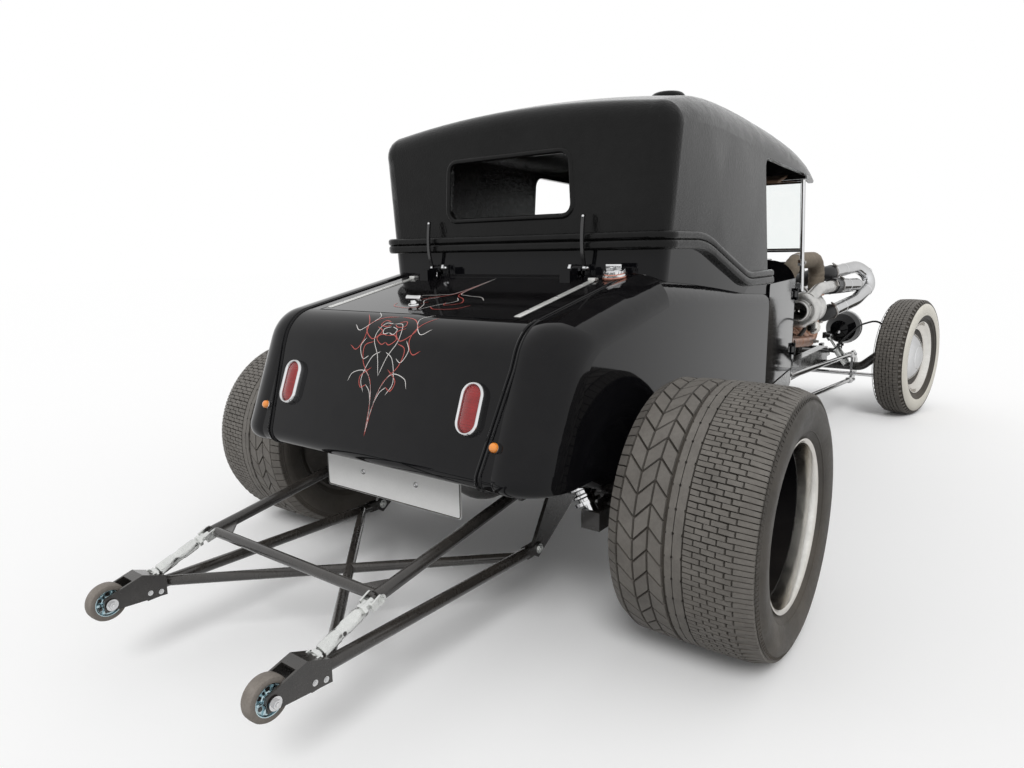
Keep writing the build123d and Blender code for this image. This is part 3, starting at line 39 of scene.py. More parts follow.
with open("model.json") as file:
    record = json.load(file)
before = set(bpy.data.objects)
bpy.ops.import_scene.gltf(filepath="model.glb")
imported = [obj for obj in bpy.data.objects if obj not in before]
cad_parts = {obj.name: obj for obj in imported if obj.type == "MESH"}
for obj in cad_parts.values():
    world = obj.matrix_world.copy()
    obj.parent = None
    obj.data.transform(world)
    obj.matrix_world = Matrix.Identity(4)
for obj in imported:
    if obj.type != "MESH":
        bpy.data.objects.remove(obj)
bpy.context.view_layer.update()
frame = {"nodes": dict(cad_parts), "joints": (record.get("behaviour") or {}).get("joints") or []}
NODES = frame["nodes"]
JOINTS = {joint["name"]: joint for joint in frame["joints"]}
AXLE_Y = JOINTS["rear_wheel_right_spin"]["pos_m"][1]


def at(x, y, z):
    """A point given with y measured from the rear axle, in the row frame."""
    return Vector((x, y + AXLE_Y, z))


# Meshes


def quads(rows, columns, closed=False):
    """Faces between neighbouring rows of points; closed joins the end of each row to its start."""
    faces = []
    for a in range(0, (rows - 1) * columns, columns):
        for k in range(columns if closed else columns - 1):
            m = (k + 1) % columns
            faces.append((a + k, a + m, a + columns + m, a + columns + k))
    return faces


class Build:
    """Collects plain shapes into one mesh with several materials."""

    def __init__(self):
        self.verts = []
        self.faces = []
        self.slots = []

    def add(self, verts, faces, slot, place=None):
        base = len(self.verts)
        for v in verts:
            v = Vector(v)
            self.verts.append(place @ v if place else v)
        self.faces += [tuple(base + i for i in face) for face in faces]
        self.slots += [slot] * len(faces)

    def lathe(self, profile, place, steps, slot):
        """Turns (along, radius) points about the local Z."""
        verts, faces = [], []
        count = len(profile)
        for i in range(steps):
            turn = 2 * math.pi * i / steps
            for along, radius in profile:
                verts.append((radius * math.cos(turn), radius * math.sin(turn), along))
        for i in range(steps):
            j = (i + 1) % steps
            for k in range(count - 1):
                faces.append((i * count + k, j * count + k, j * count + k + 1, i * count + k + 1))
        self.add(verts, faces, slot, place)

    def turned(self, profile, place, steps, slot):
        """A lathed shape whose profile is given in millimetres."""
        self.lathe([(along / 1000, radius / 1000) for along, radius in profile], place, steps, slot)

    def tube(self, points, radius, sides, slot, capped=True):
        """A round tube along points; radius is a number or one value for each point."""
        points = [Vector(p) for p in points]
        radii = radius if isinstance(radius, (list, tuple)) else [radius] * len(points)
        verts, side = [], None
        for i, point in enumerate(points):
            ahead = points[min(i + 1, len(points) - 1)] - points[max(i - 1, 0)]
            ahead.normalize()
            if side is None:
                side = ahead.orthogonal().normalized()
            side = (side - ahead * side.dot(ahead)).normalized()
            up = ahead.cross(side)
            for k in range(sides):
                turn = 2 * math.pi * k / sides
                verts.append(point + (side * math.cos(turn) + up * math.sin(turn)) * radii[i])
        faces = quads(len(points), sides, True)
        if capped:
            faces.append(tuple(reversed(range(sides))))
            faces.append(tuple((len(points) - 1) * sides + k for k in range(sides)))
        self.add(verts, faces, slot)

    def box(self, size, place, bevel, slot, segments=2):
        """A block with rounded edges, its middle at the place."""
        shape = bmesh.new()
        bmesh.ops.create_cube(shape, size=1)
        bmesh.ops.scale(shape, vec=Vector(size), verts=shape.verts)
        if bevel:
            bmesh.ops.bevel(shape, geom=list(shape.edges), offset=bevel, segments=segments, profile=0.6,
                            affect="EDGES", clamp_overlap=True)
        verts = [v.co.copy() for v in shape.verts]
        index = {v: i for i, v in enumerate(shape.verts)}
        faces = [tuple(index[v] for v in f.verts) for f in shape.faces]
        shape.free()
        self.add(verts, faces, slot, place)

    def prism(self, outline, low, high, place, slot):
        """A flat outline in local XY, drawn out from low to high along the local Z."""
        count = len(outline)
        verts = [(x, y, low) for x, y in outline] + [(x, y, high) for x, y in outline]
        faces = [tuple(reversed(range(count))), tuple(range(count, 2 * count))]
        faces += [(k, (k + 1) % count, count + (k + 1) % count, count + k) for k in range(count)]
        self.add(verts, faces, slot, place)

    def bolt(self, place, radius, height, slot):
        """A washer and a hexagon head standing on the local XY plane."""
        self.lathe([(0, radius * 1.5), (height * 0.25, radius * 1.5), (height * 0.25, radius * 0.8)],
                   place, 16, slot)
        self.prism(hexagon(radius), height * 0.25, height, place, slot)
        stud = [(height, radius * 0.5), (height * 1.2, radius * 0.5), (height * 1.25, radius * 0.3),
                (height * 1.25, 0)]
        self.lathe(stud, place, 12, slot)

    def bolts(self, places, radius, height, slot):
        for place in places:
            self.bolt(place, radius, height, slot)

    def sheet(self, rows, slot, thickness=0.0):
        """A surface through rows of points, with an optional thickness along its normals."""
        height, width = len(rows), len(rows[0])
        flat = [Vector(p) for row in rows for p in row]
        faces = quads(height, width)
        if not thickness:
            self.add(flat, faces, slot)
            return
        normals = []
        for i in range(height):
            for k in range(width):
                a = flat[min(i + 1, height - 1) * width + k] - flat[max(i - 1, 0) * width + k]
                b = flat[i * width + min(k + 1, width - 1)] - flat[i * width + max(k - 1, 0)]
                normal = b.cross(a)
                normals.append(normal.normalized() if normal.length else Vector((0, 0, 1)))
        back = [p - n * thickness for p, n in zip(flat, normals)]
        total = len(flat)
        faces += [tuple(total + i for i in reversed(q)) for q in faces]
        rim = list(range(width)) + [i * width + width - 1 for i in range(1, height)]
        rim += [(height - 1) * width + k for k in reversed(range(width - 1))]
        rim += [i * width for i in reversed(range(1, height - 1))]
        for a, b in zip(rim, rim[1:] + rim[:1]):
            faces.append((b, a, total + a, total + b))
        self.add(flat + back, faces, slot)

    def piece(self, name, finishes, body, slot, sharp=35, replaces=()):
        """Makes the object, lets it ride on its body and names its finish."""
        mesh = bpy.data.meshes.new(name)
        mesh.from_pydata([tuple(v) for v in self.verts], [], self.faces)
        for key in finishes.split():
            mesh.materials.append(finish(key))
        mesh.polygons.foreach_set("material_index", self.slots)
        shape = bmesh.new()
        shape.from_mesh(mesh)
        bmesh.ops.recalc_face_normals(shape, faces=shape.faces)
        shape.to_mesh(mesh)
        shape.free()
        mesh.polygons.foreach_set("use_smooth", [True] * len(mesh.polygons))
        mesh.set_sharp_from_angle(angle=math.radians(sharp))
        obj = bpy.data.objects.new(name, mesh)
        bpy.context.scene.collection.objects.link(obj)
        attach(obj, body)
        if replaces:
            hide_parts(*replaces)
        return obj


def axis_place(origin, along, up=(0, 0, 1)):
    """A place whose local Z points along, and whose local Y is as near as can be to up."""
    z = Vector(along).normalized()
    up = Vector(up)
    if abs(z.dot(up.normalized())) > 0.99:
        up = Vector((0, 1, 0)) if abs(z.y) < 0.9 else Vector((1, 0, 0))
    x = up.cross(z).normalized()
    y = z.cross(x)
    place = Matrix((x, y, z)).transposed().to_4x4()
    place.translation = Vector(origin)
    return place


def facing(x, y, z, along, up=(0, 0, 1)):
    """A place at a point measured from the rear axle, with its local Z along the given way."""
    return axis_place(at(x, y, z), along, up)


def standing(x, y, z):
    """An upright place at a point measured from the rear axle."""
    return Matrix.Translation(at(x, y, z))


def beside(point, out, reach):
    """A place beside the point, facing left or right."""
    return axis_place(point + Vector((out * reach, 0, 0)), (out, 0, 0))


def shift(x, y, z):
    return Matrix.Translation((x, y, z))


def turn_about(axis, angle):
    return Matrix.Rotation(angle, 4, axis)


def on_circle(place, count, radius, height, first=0.0):
    """Places spaced evenly round a circle in the local XY, all turned the same way."""
    turns = [2 * math.pi * (k + first) / count for k in range(count)]
    return [place @ shift(radius * math.cos(t), radius * math.sin(t), height) for t in turns]


def round_circle(place, count, radius, height, first=0.0):
    """Places spaced evenly round a circle, each with its local X pointing outwards."""
    turns = [2 * math.pi * (k + first) / count for k in range(count)]
    return [place @ turn_about("Z", t) @ shift(radius, 0, height) for t in turns]


def hexagon(radius):
    return [(radius * math.cos(math.pi * k / 3), radius * math.sin(math.pi * k / 3)) for k in range(6)]


def rounded(points, radii, steps):
    """Points along a pipe's straight runs with an arc at each corner."""
    points = [Vector(p) for p in points]
    path = [points[0]]
    for i, radius in enumerate(radii):
        before, corner, after = points[i], points[i + 1], points[i + 2]
        a, b = (before - corner).normalized(), (after - corner).normalized()
        half = a.angle(b) / 2
        reach = radius / math.tan(half)
        centre = corner + (a + b).normalized() * (radius / math.sin(half))
        start, end = corner + a * reach - centre, corner + b * reach - centre
        sweep = start.angle(end)
        for k in range(steps + 1):
            t = k / steps
            spoke = start * math.sin((1 - t) * sweep) + end * math.sin(t * sweep)
            path.append(centre + spoke / math.sin(sweep))
    path.append(points[-1])
    return path


def smooth_curve(points, count):
    """Evenly eased points through the given ones."""
    points = [Vector(p) for p in points]
    ends = [points[0] * 2 - points[1]] + points + [points[-1] * 2 - points[-2]]
    out = []
    for i in range(count):
        place = i / (count - 1) * (len(points) - 1)
        k = min(int(place), len(points) - 2)
        t = place - k
        a, b, c, d = ends[k], ends[k + 1], ends[k + 2], ends[k + 3]
        square, cube = 2 * a - 5 * b + 4 * c - d, 3 * b - a - 3 * c + d
        out.append(0.5 * (2 * b + (c - a) * t + square * t * t + cube * t ** 3))
    return out


# Materials


def put(tree, value, socket):
    """Sets a number or colour on the socket, or links another node's socket to it."""
    if isinstance(value, bpy.types.NodeSocket):
        tree.links.new(value, socket)
    else:
        socket.default_value = value


def add_node(tree, kind, **values):
    """A shader node; the values whose names start with in_ go to its inputs."""
    node = tree.nodes.new("ShaderNode" + kind)
    for key, value in values.items():
        if key.startswith("in_"):
            put(tree, value, node.inputs[key[3:].replace("_", " ")])
        else:
            setattr(node, key, value)
    return node


def math_node(tree, operation, first, second, clamp=False):
    node = add_node(tree, "Math", operation=operation, use_clamp=clamp)
    for value, socket in zip((first, second), node.inputs):
        put(tree, value, socket)
    return node.outputs[0]


def new_group(name, output, **inputs):
    """A node group with plain number inputs; returns its tree, its input sockets and its output socket."""
    tree = bpy.data.node_groups.new(name, "ShaderNodeTree")
    for label, value in inputs.items():
        socket = tree.interface.new_socket(name=label, in_out="INPUT", socket_type="NodeSocketFloat")
        socket.default_value = value
    tree.interface.new_socket(name=output, in_out="OUTPUT", socket_type="NodeSocketFloat")
    start, end = tree.nodes.new("NodeGroupInput"), tree.nodes.new("NodeGroupOutput")
    return tree, start.outputs, end.inputs[output]


def road_dust_group():
    """How much pale road dust lies on a surface: more near the ground and on what faces up."""
    tree, start, end = new_group("Road Dust", "Mask", Amount=0.5, Height=0.6, Scale=9.0)
    where = add_node(tree, "TexCoord").outputs["Object"]
    split = add_node(tree, "SeparateXYZ", in_Vector=where)
    low = math_node(tree, "DIVIDE", split.outputs["Z"], start["Height"])
    low = math_node(tree, "SUBTRACT", 1.0, low, clamp=True)
    normal = add_node(tree, "NewGeometry").outputs["Normal"]
    facing_up = add_node(tree, "SeparateXYZ", in_Vector=normal)
    up = math_node(tree, "MULTIPLY", facing_up.outputs["Z"], 0.35, clamp=True)
    cloud = add_node(tree, "TexNoise", in_Detail=6.0, in_Roughness=0.65, in_Vector=where,
                     in_Scale=start["Scale"])
    mask = math_node(tree, "ADD", low, up)
    mask = math_node(tree, "MULTIPLY", mask, cloud.outputs["Fac"])
    put(tree, math_node(tree, "MULTIPLY", mask, start["Amount"], clamp=True), end)
    return tree


def mottle_group():
    """Soft uneven patches, with finer ones laid over them."""
    tree, start, end = new_group("Mottle", "Value", Scale=8.0, Low=0.0, High=1.0)
    where = add_node(tree, "TexCoord").outputs["Object"]
    coarse = add_node(tree, "TexNoise", in_Detail=4.0, in_Vector=where, in_Scale=start["Scale"])
    fine = add_node(tree, "TexNoise", in_Detail=8.0, in_Roughness=0.7, in_Vector=where)
    put(tree, math_node(tree, "MULTIPLY", start["Scale"], 6.0), fine.inputs["Scale"])
    total = math_node(tree, "ADD", coarse.outputs["Fac"], fine.outputs["Fac"])
    spread = add_node(tree, "MapRange", in_From_Min=0.7, in_From_Max=1.3, in_Value=total,
                      in_To_Min=start["Low"], in_To_Max=start["High"])
    put(tree, spread.outputs[0], end)
    return tree


def grain_group():
    """The height of a pebbled surface, from cells and fine noise."""
    tree, start, end = new_group("Pebble Grain", "Height", Scale=300.0, Softness=0.5)
    where = add_node(tree, "TexCoord").outputs["Object"]
    cells = add_node(tree, "TexVoronoi", feature="SMOOTH_F1", in_Vector=where, in_Scale=start["Scale"])
    noise = add_node(tree, "TexNoise", in_Detail=3.0, in_Vector=where, in_Scale=start["Scale"])
    soft = math_node(tree, "MULTIPLY", noise.outputs["Fac"], start["Softness"])
    put(tree, math_node(tree, "ADD", cells.outputs["Distance"], soft), end)
    return tree


def brushed_group():
    """Fine lines along the local X, as a brush or a lathe leaves them."""
    tree, start, end = new_group("Brushed Lines", "Height", Scale=60.0, Stretch=12.0)
    where = add_node(tree, "TexCoord").outputs["Object"]
    split = add_node(tree, "SeparateXYZ", in_Vector=where)
    join = add_node(tree, "CombineXYZ", in_X=split.outputs["X"])
    for axis in "YZ":
        put(tree, math_node(tree, "MULTIPLY", split.outputs[axis], start["Stretch"]), join.inputs[axis])
    noise = add_node(tree, "TexNoise", in_Detail=5.0, in_Vector=join.outputs[0], in_Scale=start["Scale"])
    put(tree, noise.outputs["Fac"], end)
    return tree


GROUP_MAKERS = {"dust": road_dust_group, "mottle": mottle_group, "grain": grain_group, "brushed": brushed_group}
GROUPS = {}


def group_node(tree, key, **values):
    if key not in GROUPS:
        GROUPS[key] = GROUP_MAKERS[key]()
    node = add_node(tree, "Group", node_tree=GROUPS[key])
    for label, value in values.items():
        node.inputs[label].default_value = value
    return node.outputs[0]


def mix_colours(tree, mask, first, second):
    mix = add_node(tree, "Mix", data_type="RGBA")
    put(tree, mask, mix.inputs["Factor"])
    for socket, value in ((mix.inputs[6], first), (mix.inputs[7], second)):
        put(tree, (*value, 1) if isinstance(value, tuple) else value, socket)
    return mix.outputs[2]


DUST_COLOUR = (0.3, 0.25, 0.19)
# Each finish: the two colours that it wanders between, its roughness, how far that spreads, the scale of the
# patches, and what sets it apart from make_finish's own values
FINISHES = {
    "gloss_black_paint": ((0.003, 0.003, 0.004), (0.006, 0.006, 0.007), 0.055, 0.02, 3.0,
        dict(dust=0.05, dust_height=0.45, specular=0.2)),
    "frame_black_paint": ((0.01, 0.01, 0.011), (0.022, 0.021, 0.021), 0.24, 0.08, 6.0,
        dict(coat=0.4, dust=0.14, dust_height=0.5)),
    "pebbled_black_top": ((0.005, 0.005, 0.005), (0.01, 0.01, 0.01), 0.12, 0.03, 5.0,
        dict(specular=0.16, grain=0.001, grain_scale=230.0, softness=0.2)),
    # show_chrome's edge colour is a painted dark reflection: the chrome turns this dark at grazing angles,
    # where it would reflect the ground
    "show_chrome": ((0.74, 0.75, 0.76), (0.86, 0.86, 0.87), 0.07, 0.03, 14.0,
        dict(metallic=1.0, dust=0.05, edge=(0.1, 0.095, 0.085))),
    # polished_alloy's edge colour is a painted tan reflection at grazing angles
    "polished_alloy": ((0.66, 0.65, 0.62), (0.8, 0.79, 0.76), 0.16, 0.06, 18.0,
        dict(metallic=1.0, dust=0.08, brushed=0.0001, edge=(0.42, 0.38, 0.33))),
    "bright_zinc": ((0.6, 0.61, 0.6), (0.76, 0.77, 0.75), 0.28, 0.08, 30.0, dict(metallic=1.0, brushed=0.0002)),
    "blue_zinc": ((0.42, 0.56, 0.62), (0.6, 0.72, 0.74), 0.25, 0.08, 40.0, dict(metallic=1.0)),
    "bare_steel": ((0.3, 0.29, 0.28), (0.42, 0.4, 0.38), 0.36, 0.12, 24.0,
        dict(metallic=1.0, dust=0.12, brushed=0.0002)),
    "dark_steel": ((0.05, 0.05, 0.05), (0.09, 0.085, 0.08), 0.45, 0.12, 24.0, dict(metallic=0.7, dust=0.25)),
    "tyre_rubber": ((0.022, 0.021, 0.02), (0.04, 0.037, 0.034), 0.62, 0.1, 14.0,
        dict(dust=0.28, dust_height=0.9, grain=0.0005, grain_scale=500.0)),
    "tread_rubber": ((0.105, 0.098, 0.09), (0.165, 0.155, 0.142), 0.62, 0.08, 22.0,
        dict(dust=0.15, dust_height=0.9, grain=0.0009, grain_scale=700.0)),
    "groove_rubber": ((0.03, 0.027, 0.024), (0.05, 0.045, 0.039), 0.85, 0.06, 30.0,
        dict(dust=0.15, dust_height=0.9, grain=0.0006, grain_scale=700.0)),
    "whitewall_rubber": ((0.74, 0.71, 0.63), (0.83, 0.8, 0.72), 0.55, 0.06, 12.0,
        dict(dust=0.25, dust_height=0.5, grain=0.0002, grain_scale=500.0)),
    "caster_rubber": ((0.17, 0.15, 0.13), (0.26, 0.235, 0.21), 0.7, 0.08, 40.0,
        dict(grain=0.0004, grain_scale=900.0)),
    "hose_rubber": ((0.01, 0.01, 0.011), (0.018, 0.018, 0.018), 0.42, 0.08, 20.0,
        dict(grain=0.0005, grain_scale=600.0)),
    "heated_header_steel": ((0.42, 0.2, 0.11), (0.3, 0.22, 0.19), 0.34, 0.1, 16.0,
        dict(metallic=0.9, dust=0.08)),
    "cast_turbo_alloy": ((0.5, 0.5, 0.49), (0.66, 0.65, 0.63), 0.36, 0.1, 30.0,
        dict(metallic=1.0, grain=0.0006, grain_scale=500.0)),
    "glass_heat_wrap": ((0.16, 0.13, 0.1), (0.26, 0.22, 0.17), 0.85, 0.08, 26.0,
        dict(grain=0.0016, grain_scale=600.0)),
    "painted_engine_iron": ((0.035, 0.036, 0.038), (0.06, 0.058, 0.056), 0.48, 0.12, 20.0,
        dict(metallic=0.2, dust=0.2, grain=0.001, grain_scale=260.0)),
    "satin_alloy": ((0.46, 0.46, 0.46), (0.58, 0.58, 0.57), 0.38, 0.1, 20.0,
        dict(metallic=1.0, grain=0.0005, grain_scale=400.0)),
    "brown_seat_vinyl": ((0.2, 0.115, 0.065), (0.27, 0.165, 0.1), 0.48, 0.08, 14.0,
        dict(grain=0.001, grain_scale=420.0, sheen=0.1)),
    "brown_headliner": ((0.17, 0.115, 0.075), (0.23, 0.165, 0.115), 0.9, 0.05, 20.0,
        dict(grain=0.001, grain_scale=700.0, sheen=0.3)),
    "red_lens": ((0.2, 0.003, 0.004), (0.33, 0.007, 0.008), 0.14, 0.04, 40.0,
        dict(coat=0.3, grain=0.001, grain_scale=220.0)),
    "amber_lens": ((0.85, 0.24, 0.02), (0.95, 0.34, 0.03), 0.12, 0.03, 60.0,
        dict(coat=0.8, grain=0.0006, grain_scale=300.0)),
    "plate_white": ((0.8, 0.8, 0.79), (0.86, 0.86, 0.85), 0.35, 0.06, 24.0,
        dict(dust=0.06, grain=0.0001, grain_scale=900.0)),
    "headlight_lens": ((0.72, 0.74, 0.74), (0.82, 0.84, 0.84), 0.1, 0.03, 30.0,
        dict(coat=0.5, transmission=0.35)),
    "anodised_pink": ((0.62, 0.27, 0.2), (0.74, 0.36, 0.28), 0.22, 0.06, 30.0, dict(metallic=1.0)),
    "bright_strip": ((0.62, 0.62, 0.6), (0.74, 0.74, 0.72), 0.42, 0.06, 40.0,
        dict(metallic=0.55, brushed=0.0001)),
    "stripe_red": ((0.38, 0.05, 0.04), (0.5, 0.1, 0.08), 0.3, 0.05, 30.0, {}),
    "stripe_white": ((0.62, 0.6, 0.58), (0.74, 0.72, 0.7), 0.3, 0.05, 30.0, {}),
    "clear_glass": ((0.93, 0.97, 0.96), (0.97, 0.99, 0.98), 0.03, 0.01, 6.0, dict(transmission=1.0, ior=1.45)),
}


def make_finish(name, colour, second, roughness, spread, scale, metallic=0.0, coat=0.0, dust=0.0,
                dust_height=0.7, grain=0.0, grain_scale=300.0, softness=0.5, brushed=0.0, sheen=0.0,
                transmission=0.0, specular=0.5, ior=1.5, edge=None):
    """A material with uneven colour and roughness, and dust, grain or brushing where asked for; an edge colour
    paints a reflection into the colour at grazing angles.
    """
    material = bpy.data.materials.new(name)
    material.use_nodes = True
    tree = material.node_tree
    shader = tree.nodes["Principled BSDF"]
    plain = {"Metallic": metallic, "Coat Weight": coat, "Coat Roughness": 0.04, "Sheen Weight": sheen,
             "Specular IOR Level": specular, "Transmission Weight": transmission, "IOR": ior}
    for label, value in plain.items():
        shader.inputs[label].default_value = value
    patches = group_node(tree, "mottle", Scale=scale)
    tint = mix_colours(tree, patches, colour, second)
    rough = group_node(tree, "mottle", Scale=scale * 1.7, Low=max(0.01, roughness - spread),
                       High=min(1.0, roughness + spread))
    # Painted reflection: at grazing angles the colour turns to the edge colour, standing in for what the metal
    # reflects there
    if edge:
        painted_reflection_weight = add_node(tree, "LayerWeight", in_Blend=0.32)
        tint = mix_colours(tree, painted_reflection_weight.outputs["Facing"], tint, edge)
    if dust:
        layer = group_node(tree, "dust", Amount=dust, Height=dust_height)
        tint = mix_colours(tree, layer, tint, DUST_COLOUR)
        rough = math_node(tree, "ADD", rough, math_node(tree, "MULTIPLY", layer, 0.5), clamp=True)
    put(tree, tint, shader.inputs["Base Color"])
    put(tree, rough, shader.inputs["Roughness"])
    if grain or brushed:
        values = dict(Scale=grain_scale, Softness=softness) if grain else {}
        height = group_node(tree, "grain" if grain else "brushed", **values)
        bump = add_node(tree, "Bump", in_Distance=grain or brushed, in_Strength=0.6, in_Height=height)
        put(tree, bump.outputs[0], shader.inputs["Normal"])
    return material


MADE = {}


def finish(name):
    """The material of that name, made the first time that it is asked for."""
    if name not in MADE:
        *columns, values = FINISHES[name]
        MADE[name] = make_finish(name, *columns, **values)
    return MADE[name]


NODES_BY_FINISH = {
    "frame_black_paint":
        "frame floor_pan steering_wheel radiator front_axle rear_axle wheelie_bars knuckle_left "
        "knuckle_right",
    "gloss_black_paint":
        "quarter_left quarter_right tail_panel deck_surround deck_lid cowl door_left door_right "
        "headlights",
    "show_chrome": "deck_fittings windshield_frame charge_pipes radius_rods tie_rod coilovers",
    "pebbled_black_top": "hard_top",
    "clear_glass": "windshield_glass",
    "brown_seat_vinyl": "seat",
    "painted_engine_iron": "engine",
    "heated_header_steel": "headers",
    "cast_turbo_alloy": "turbocharger",
    "glass_heat_wrap": "wrapped_pipe",
    "hose_rubber": "hoses brake_hoses",
    "plate_white": "number_plate",
    "red_lens": "rear_lamps",
    "tyre_rubber": "rear_tyre_left rear_tyre_right front_tyre_left front_tyre_right",
    "polished_alloy": "rear_wheel_left rear_wheel_right front_wheel_left front_wheel_right",
    "caster_rubber": "caster_wheel_left caster_wheel_right",
}


# Settings


class RodSizes(bpy.types.PropertyGroup):
    rear_radius: bpy.props.FloatProperty(
        name="Rear tyre radius", description="Outer radius of the rear tyres", default=0.311,
        subtype="DISTANCE", unit="LENGTH")
    rear_width: bpy.props.FloatProperty(
        name="Rear tyre width", description="Width of the rear tyres", default=0.337,
        subtype="DISTANCE", unit="LENGTH")
    front_radius: bpy.props.FloatProperty(
        name="Front tyre radius", description="Outer radius of the front tyres", default=0.3148,
        subtype="DISTANCE", unit="LENGTH")
    front_width: bpy.props.FloatProperty(
        name="Front tyre width", description="Width of the front tyres", default=0.157,
        subtype="DISTANCE", unit="LENGTH")
    tread_depth: bpy.props.FloatProperty(
        name="Tread depth", description="Depth of the tyres' grooves", default=0.0065,
        subtype="DISTANCE", unit="LENGTH")
    rear_pitches: bpy.props.IntProperty(
        name="Rear tread repeats", description="How often the rear tread pattern repeats round the tyre",
        default=40, min=20, max=90)
    front_pitches: bpy.props.IntProperty(
        name="Front tread repeats", description="How often the front tread pattern repeats round the tyre",
        default=64, min=20, max=120)


class RodColours(bpy.types.PropertyGroup):
    floor_colour: bpy.props.FloatVectorProperty(
        name="Floor", description="Colour of the studio floor", default=(1.0, 1.0, 1.0), size=3,
        subtype="COLOR", min=0, max=1)


# Tyres


BEAD_RADIUS = 0.188
TREAD_INSET = 0.008
TYRE_FINISHES = "tyre_rubber tread_rubber whitewall_rubber groove_rubber"


def wheel_place(side, end):
    """Where a wheel's middle is, with the local Z along the axle and outwards."""
    joint = JOINTS[f"{end}_wheel_{side}_spin"]
    axis = Vector(joint["axis"])
    return axis_place(joint["pos_m"], -axis if side == "left" else axis)


def crown_radius(v, radius, half):
    """The tread surface's radius at v across the tyre, v measured from its middle."""
    t = abs(v) / half
    return radius - 0.0045 * t ** 2 - (0.016 * max(0.0, (t - 0.86) / 0.14) ** 2)


def tread_block(build, corners, pitch_angle, start, radius, half, depth, slot):
    """A raised block from (share of a pitch, place across) corners, its top edges drawn in a little."""
    centre = [sum(c[i] for c in corners) / len(corners) for i in (0, 1)]
    top, foot = [], []
    for a, v in corners:
        for ring, inset, lift in ((top, 0.93, 0.0), (foot, 1.0, depth)):
            aa = centre[0] + (a - centre[0]) * inset
            vv = centre[1] + (v - centre[1]) * inset
            r = crown_radius(vv, radius, half) - lift
            turn = (start + aa) * pitch_angle
            ring.append((r * math.cos(turn), r * math.sin(turn), vv))
    build.add(top + foot, [(0, 1, 2, 3), (0, 4, 5, 1), (1, 5, 6, 2), (2, 6, 7, 3), (3, 7, 4, 0)], slot)


# One repeat of the rear tread's inner half: corners as (share of the repeat, millimetres out from the middle)
REAR_BLOCKS = [
    [(0.02, -158), (0.48, -158), (0.54, -133), (0.08, -133)],
    [(0.52, -158), (0.98, -158), (1.04, -133), (0.58, -133)],
    [(0.0, -130), (0.92, -130), (1.62, -95), (0.7, -95)],
    [(0.7, -92), (1.62, -92), (0.92, -61), (0.0, -61)],
    [(0.0, -58), (0.92, -58), (1.52, -28), (0.6, -28)],
]
# The outer half: the edges between its bands of thin bars, and how far every second bar steps over them
REAR_BANDS = (17, 46, 76, 110, 158)
BAR_STEP = 8
BARS_A_REPEAT = 4
# Unbroken ribs between the halves, and those of the front tyre: their edges in millimetres from the middle
REAR_RIBS = [(-20, -5.5), (-3.5, 15)]
FRONT_RIBS = [(-56, -40), (-37, -22), (-19, -4), (-1, 13), (16, 31), (34, 56)]
RIB_NOTCH = 0.0016
SCUFF_BARS = 150
FRONT_ZIGZAG = 1.6


def tyre_body(build, radius, half, depth, foot, steps):
    """Both walls from the beads up in one finish, and the floor of the tread between them in another."""
    bulge = radius - (radius - BEAD_RADIUS) * 0.45
    wall = [(foot, BEAD_RADIUS), (foot + 0.004, BEAD_RADIUS + 0.012), (half - 0.016, BEAD_RADIUS + 0.02),
            (half - 0.006, BEAD_RADIUS + 0.032), (half - 0.002, bulge - 0.016), (half, bulge),
            (half - 0.001, bulge + 0.016), (half - 0.0045, radius - 0.034), (half - 0.009, radius - 0.024),
            (half - 0.01, radius - 0.019)]
    across = [(half - 0.011) * (1 - k / 7) for k in range(15)]
    tread = [(v, crown_radius(v, radius, half - TREAD_INSET) - depth) for v in across]
    build.lathe(wall + tread[:1], None, steps, 0)
    build.lathe(tread, None, steps, 3)
    build.lathe(tread[-1:] + [(-v, r) for v, r in reversed(wall)], None, steps, 0)


def bead_rings(build, rings):
    """Thin raised rings on a sidewall: (place along the axle, radius, height, width)."""
    for along, radius, height, width in rings:
        top = along + math.copysign(height, along)
        build.lathe([(along, radius - width / 2), (top, radius - width / 4), (top, radius + width / 4),
                     (along, radius + width / 2)], None, 128, 0)


def fit_tyre(build, end, side):
    """Makes the tyre's piece and moves it from its own origin onto its wheel."""
    tyre = build.piece(f"{end}_tyre_skin_{side}", TYRE_FINISHES, f"{end}_wheel_{side}", "tyre", 30,
                       [f"{end}_tyre_{side}"])
    tyre.data.transform(wheel_place(side, end))
    tyre.data.update()


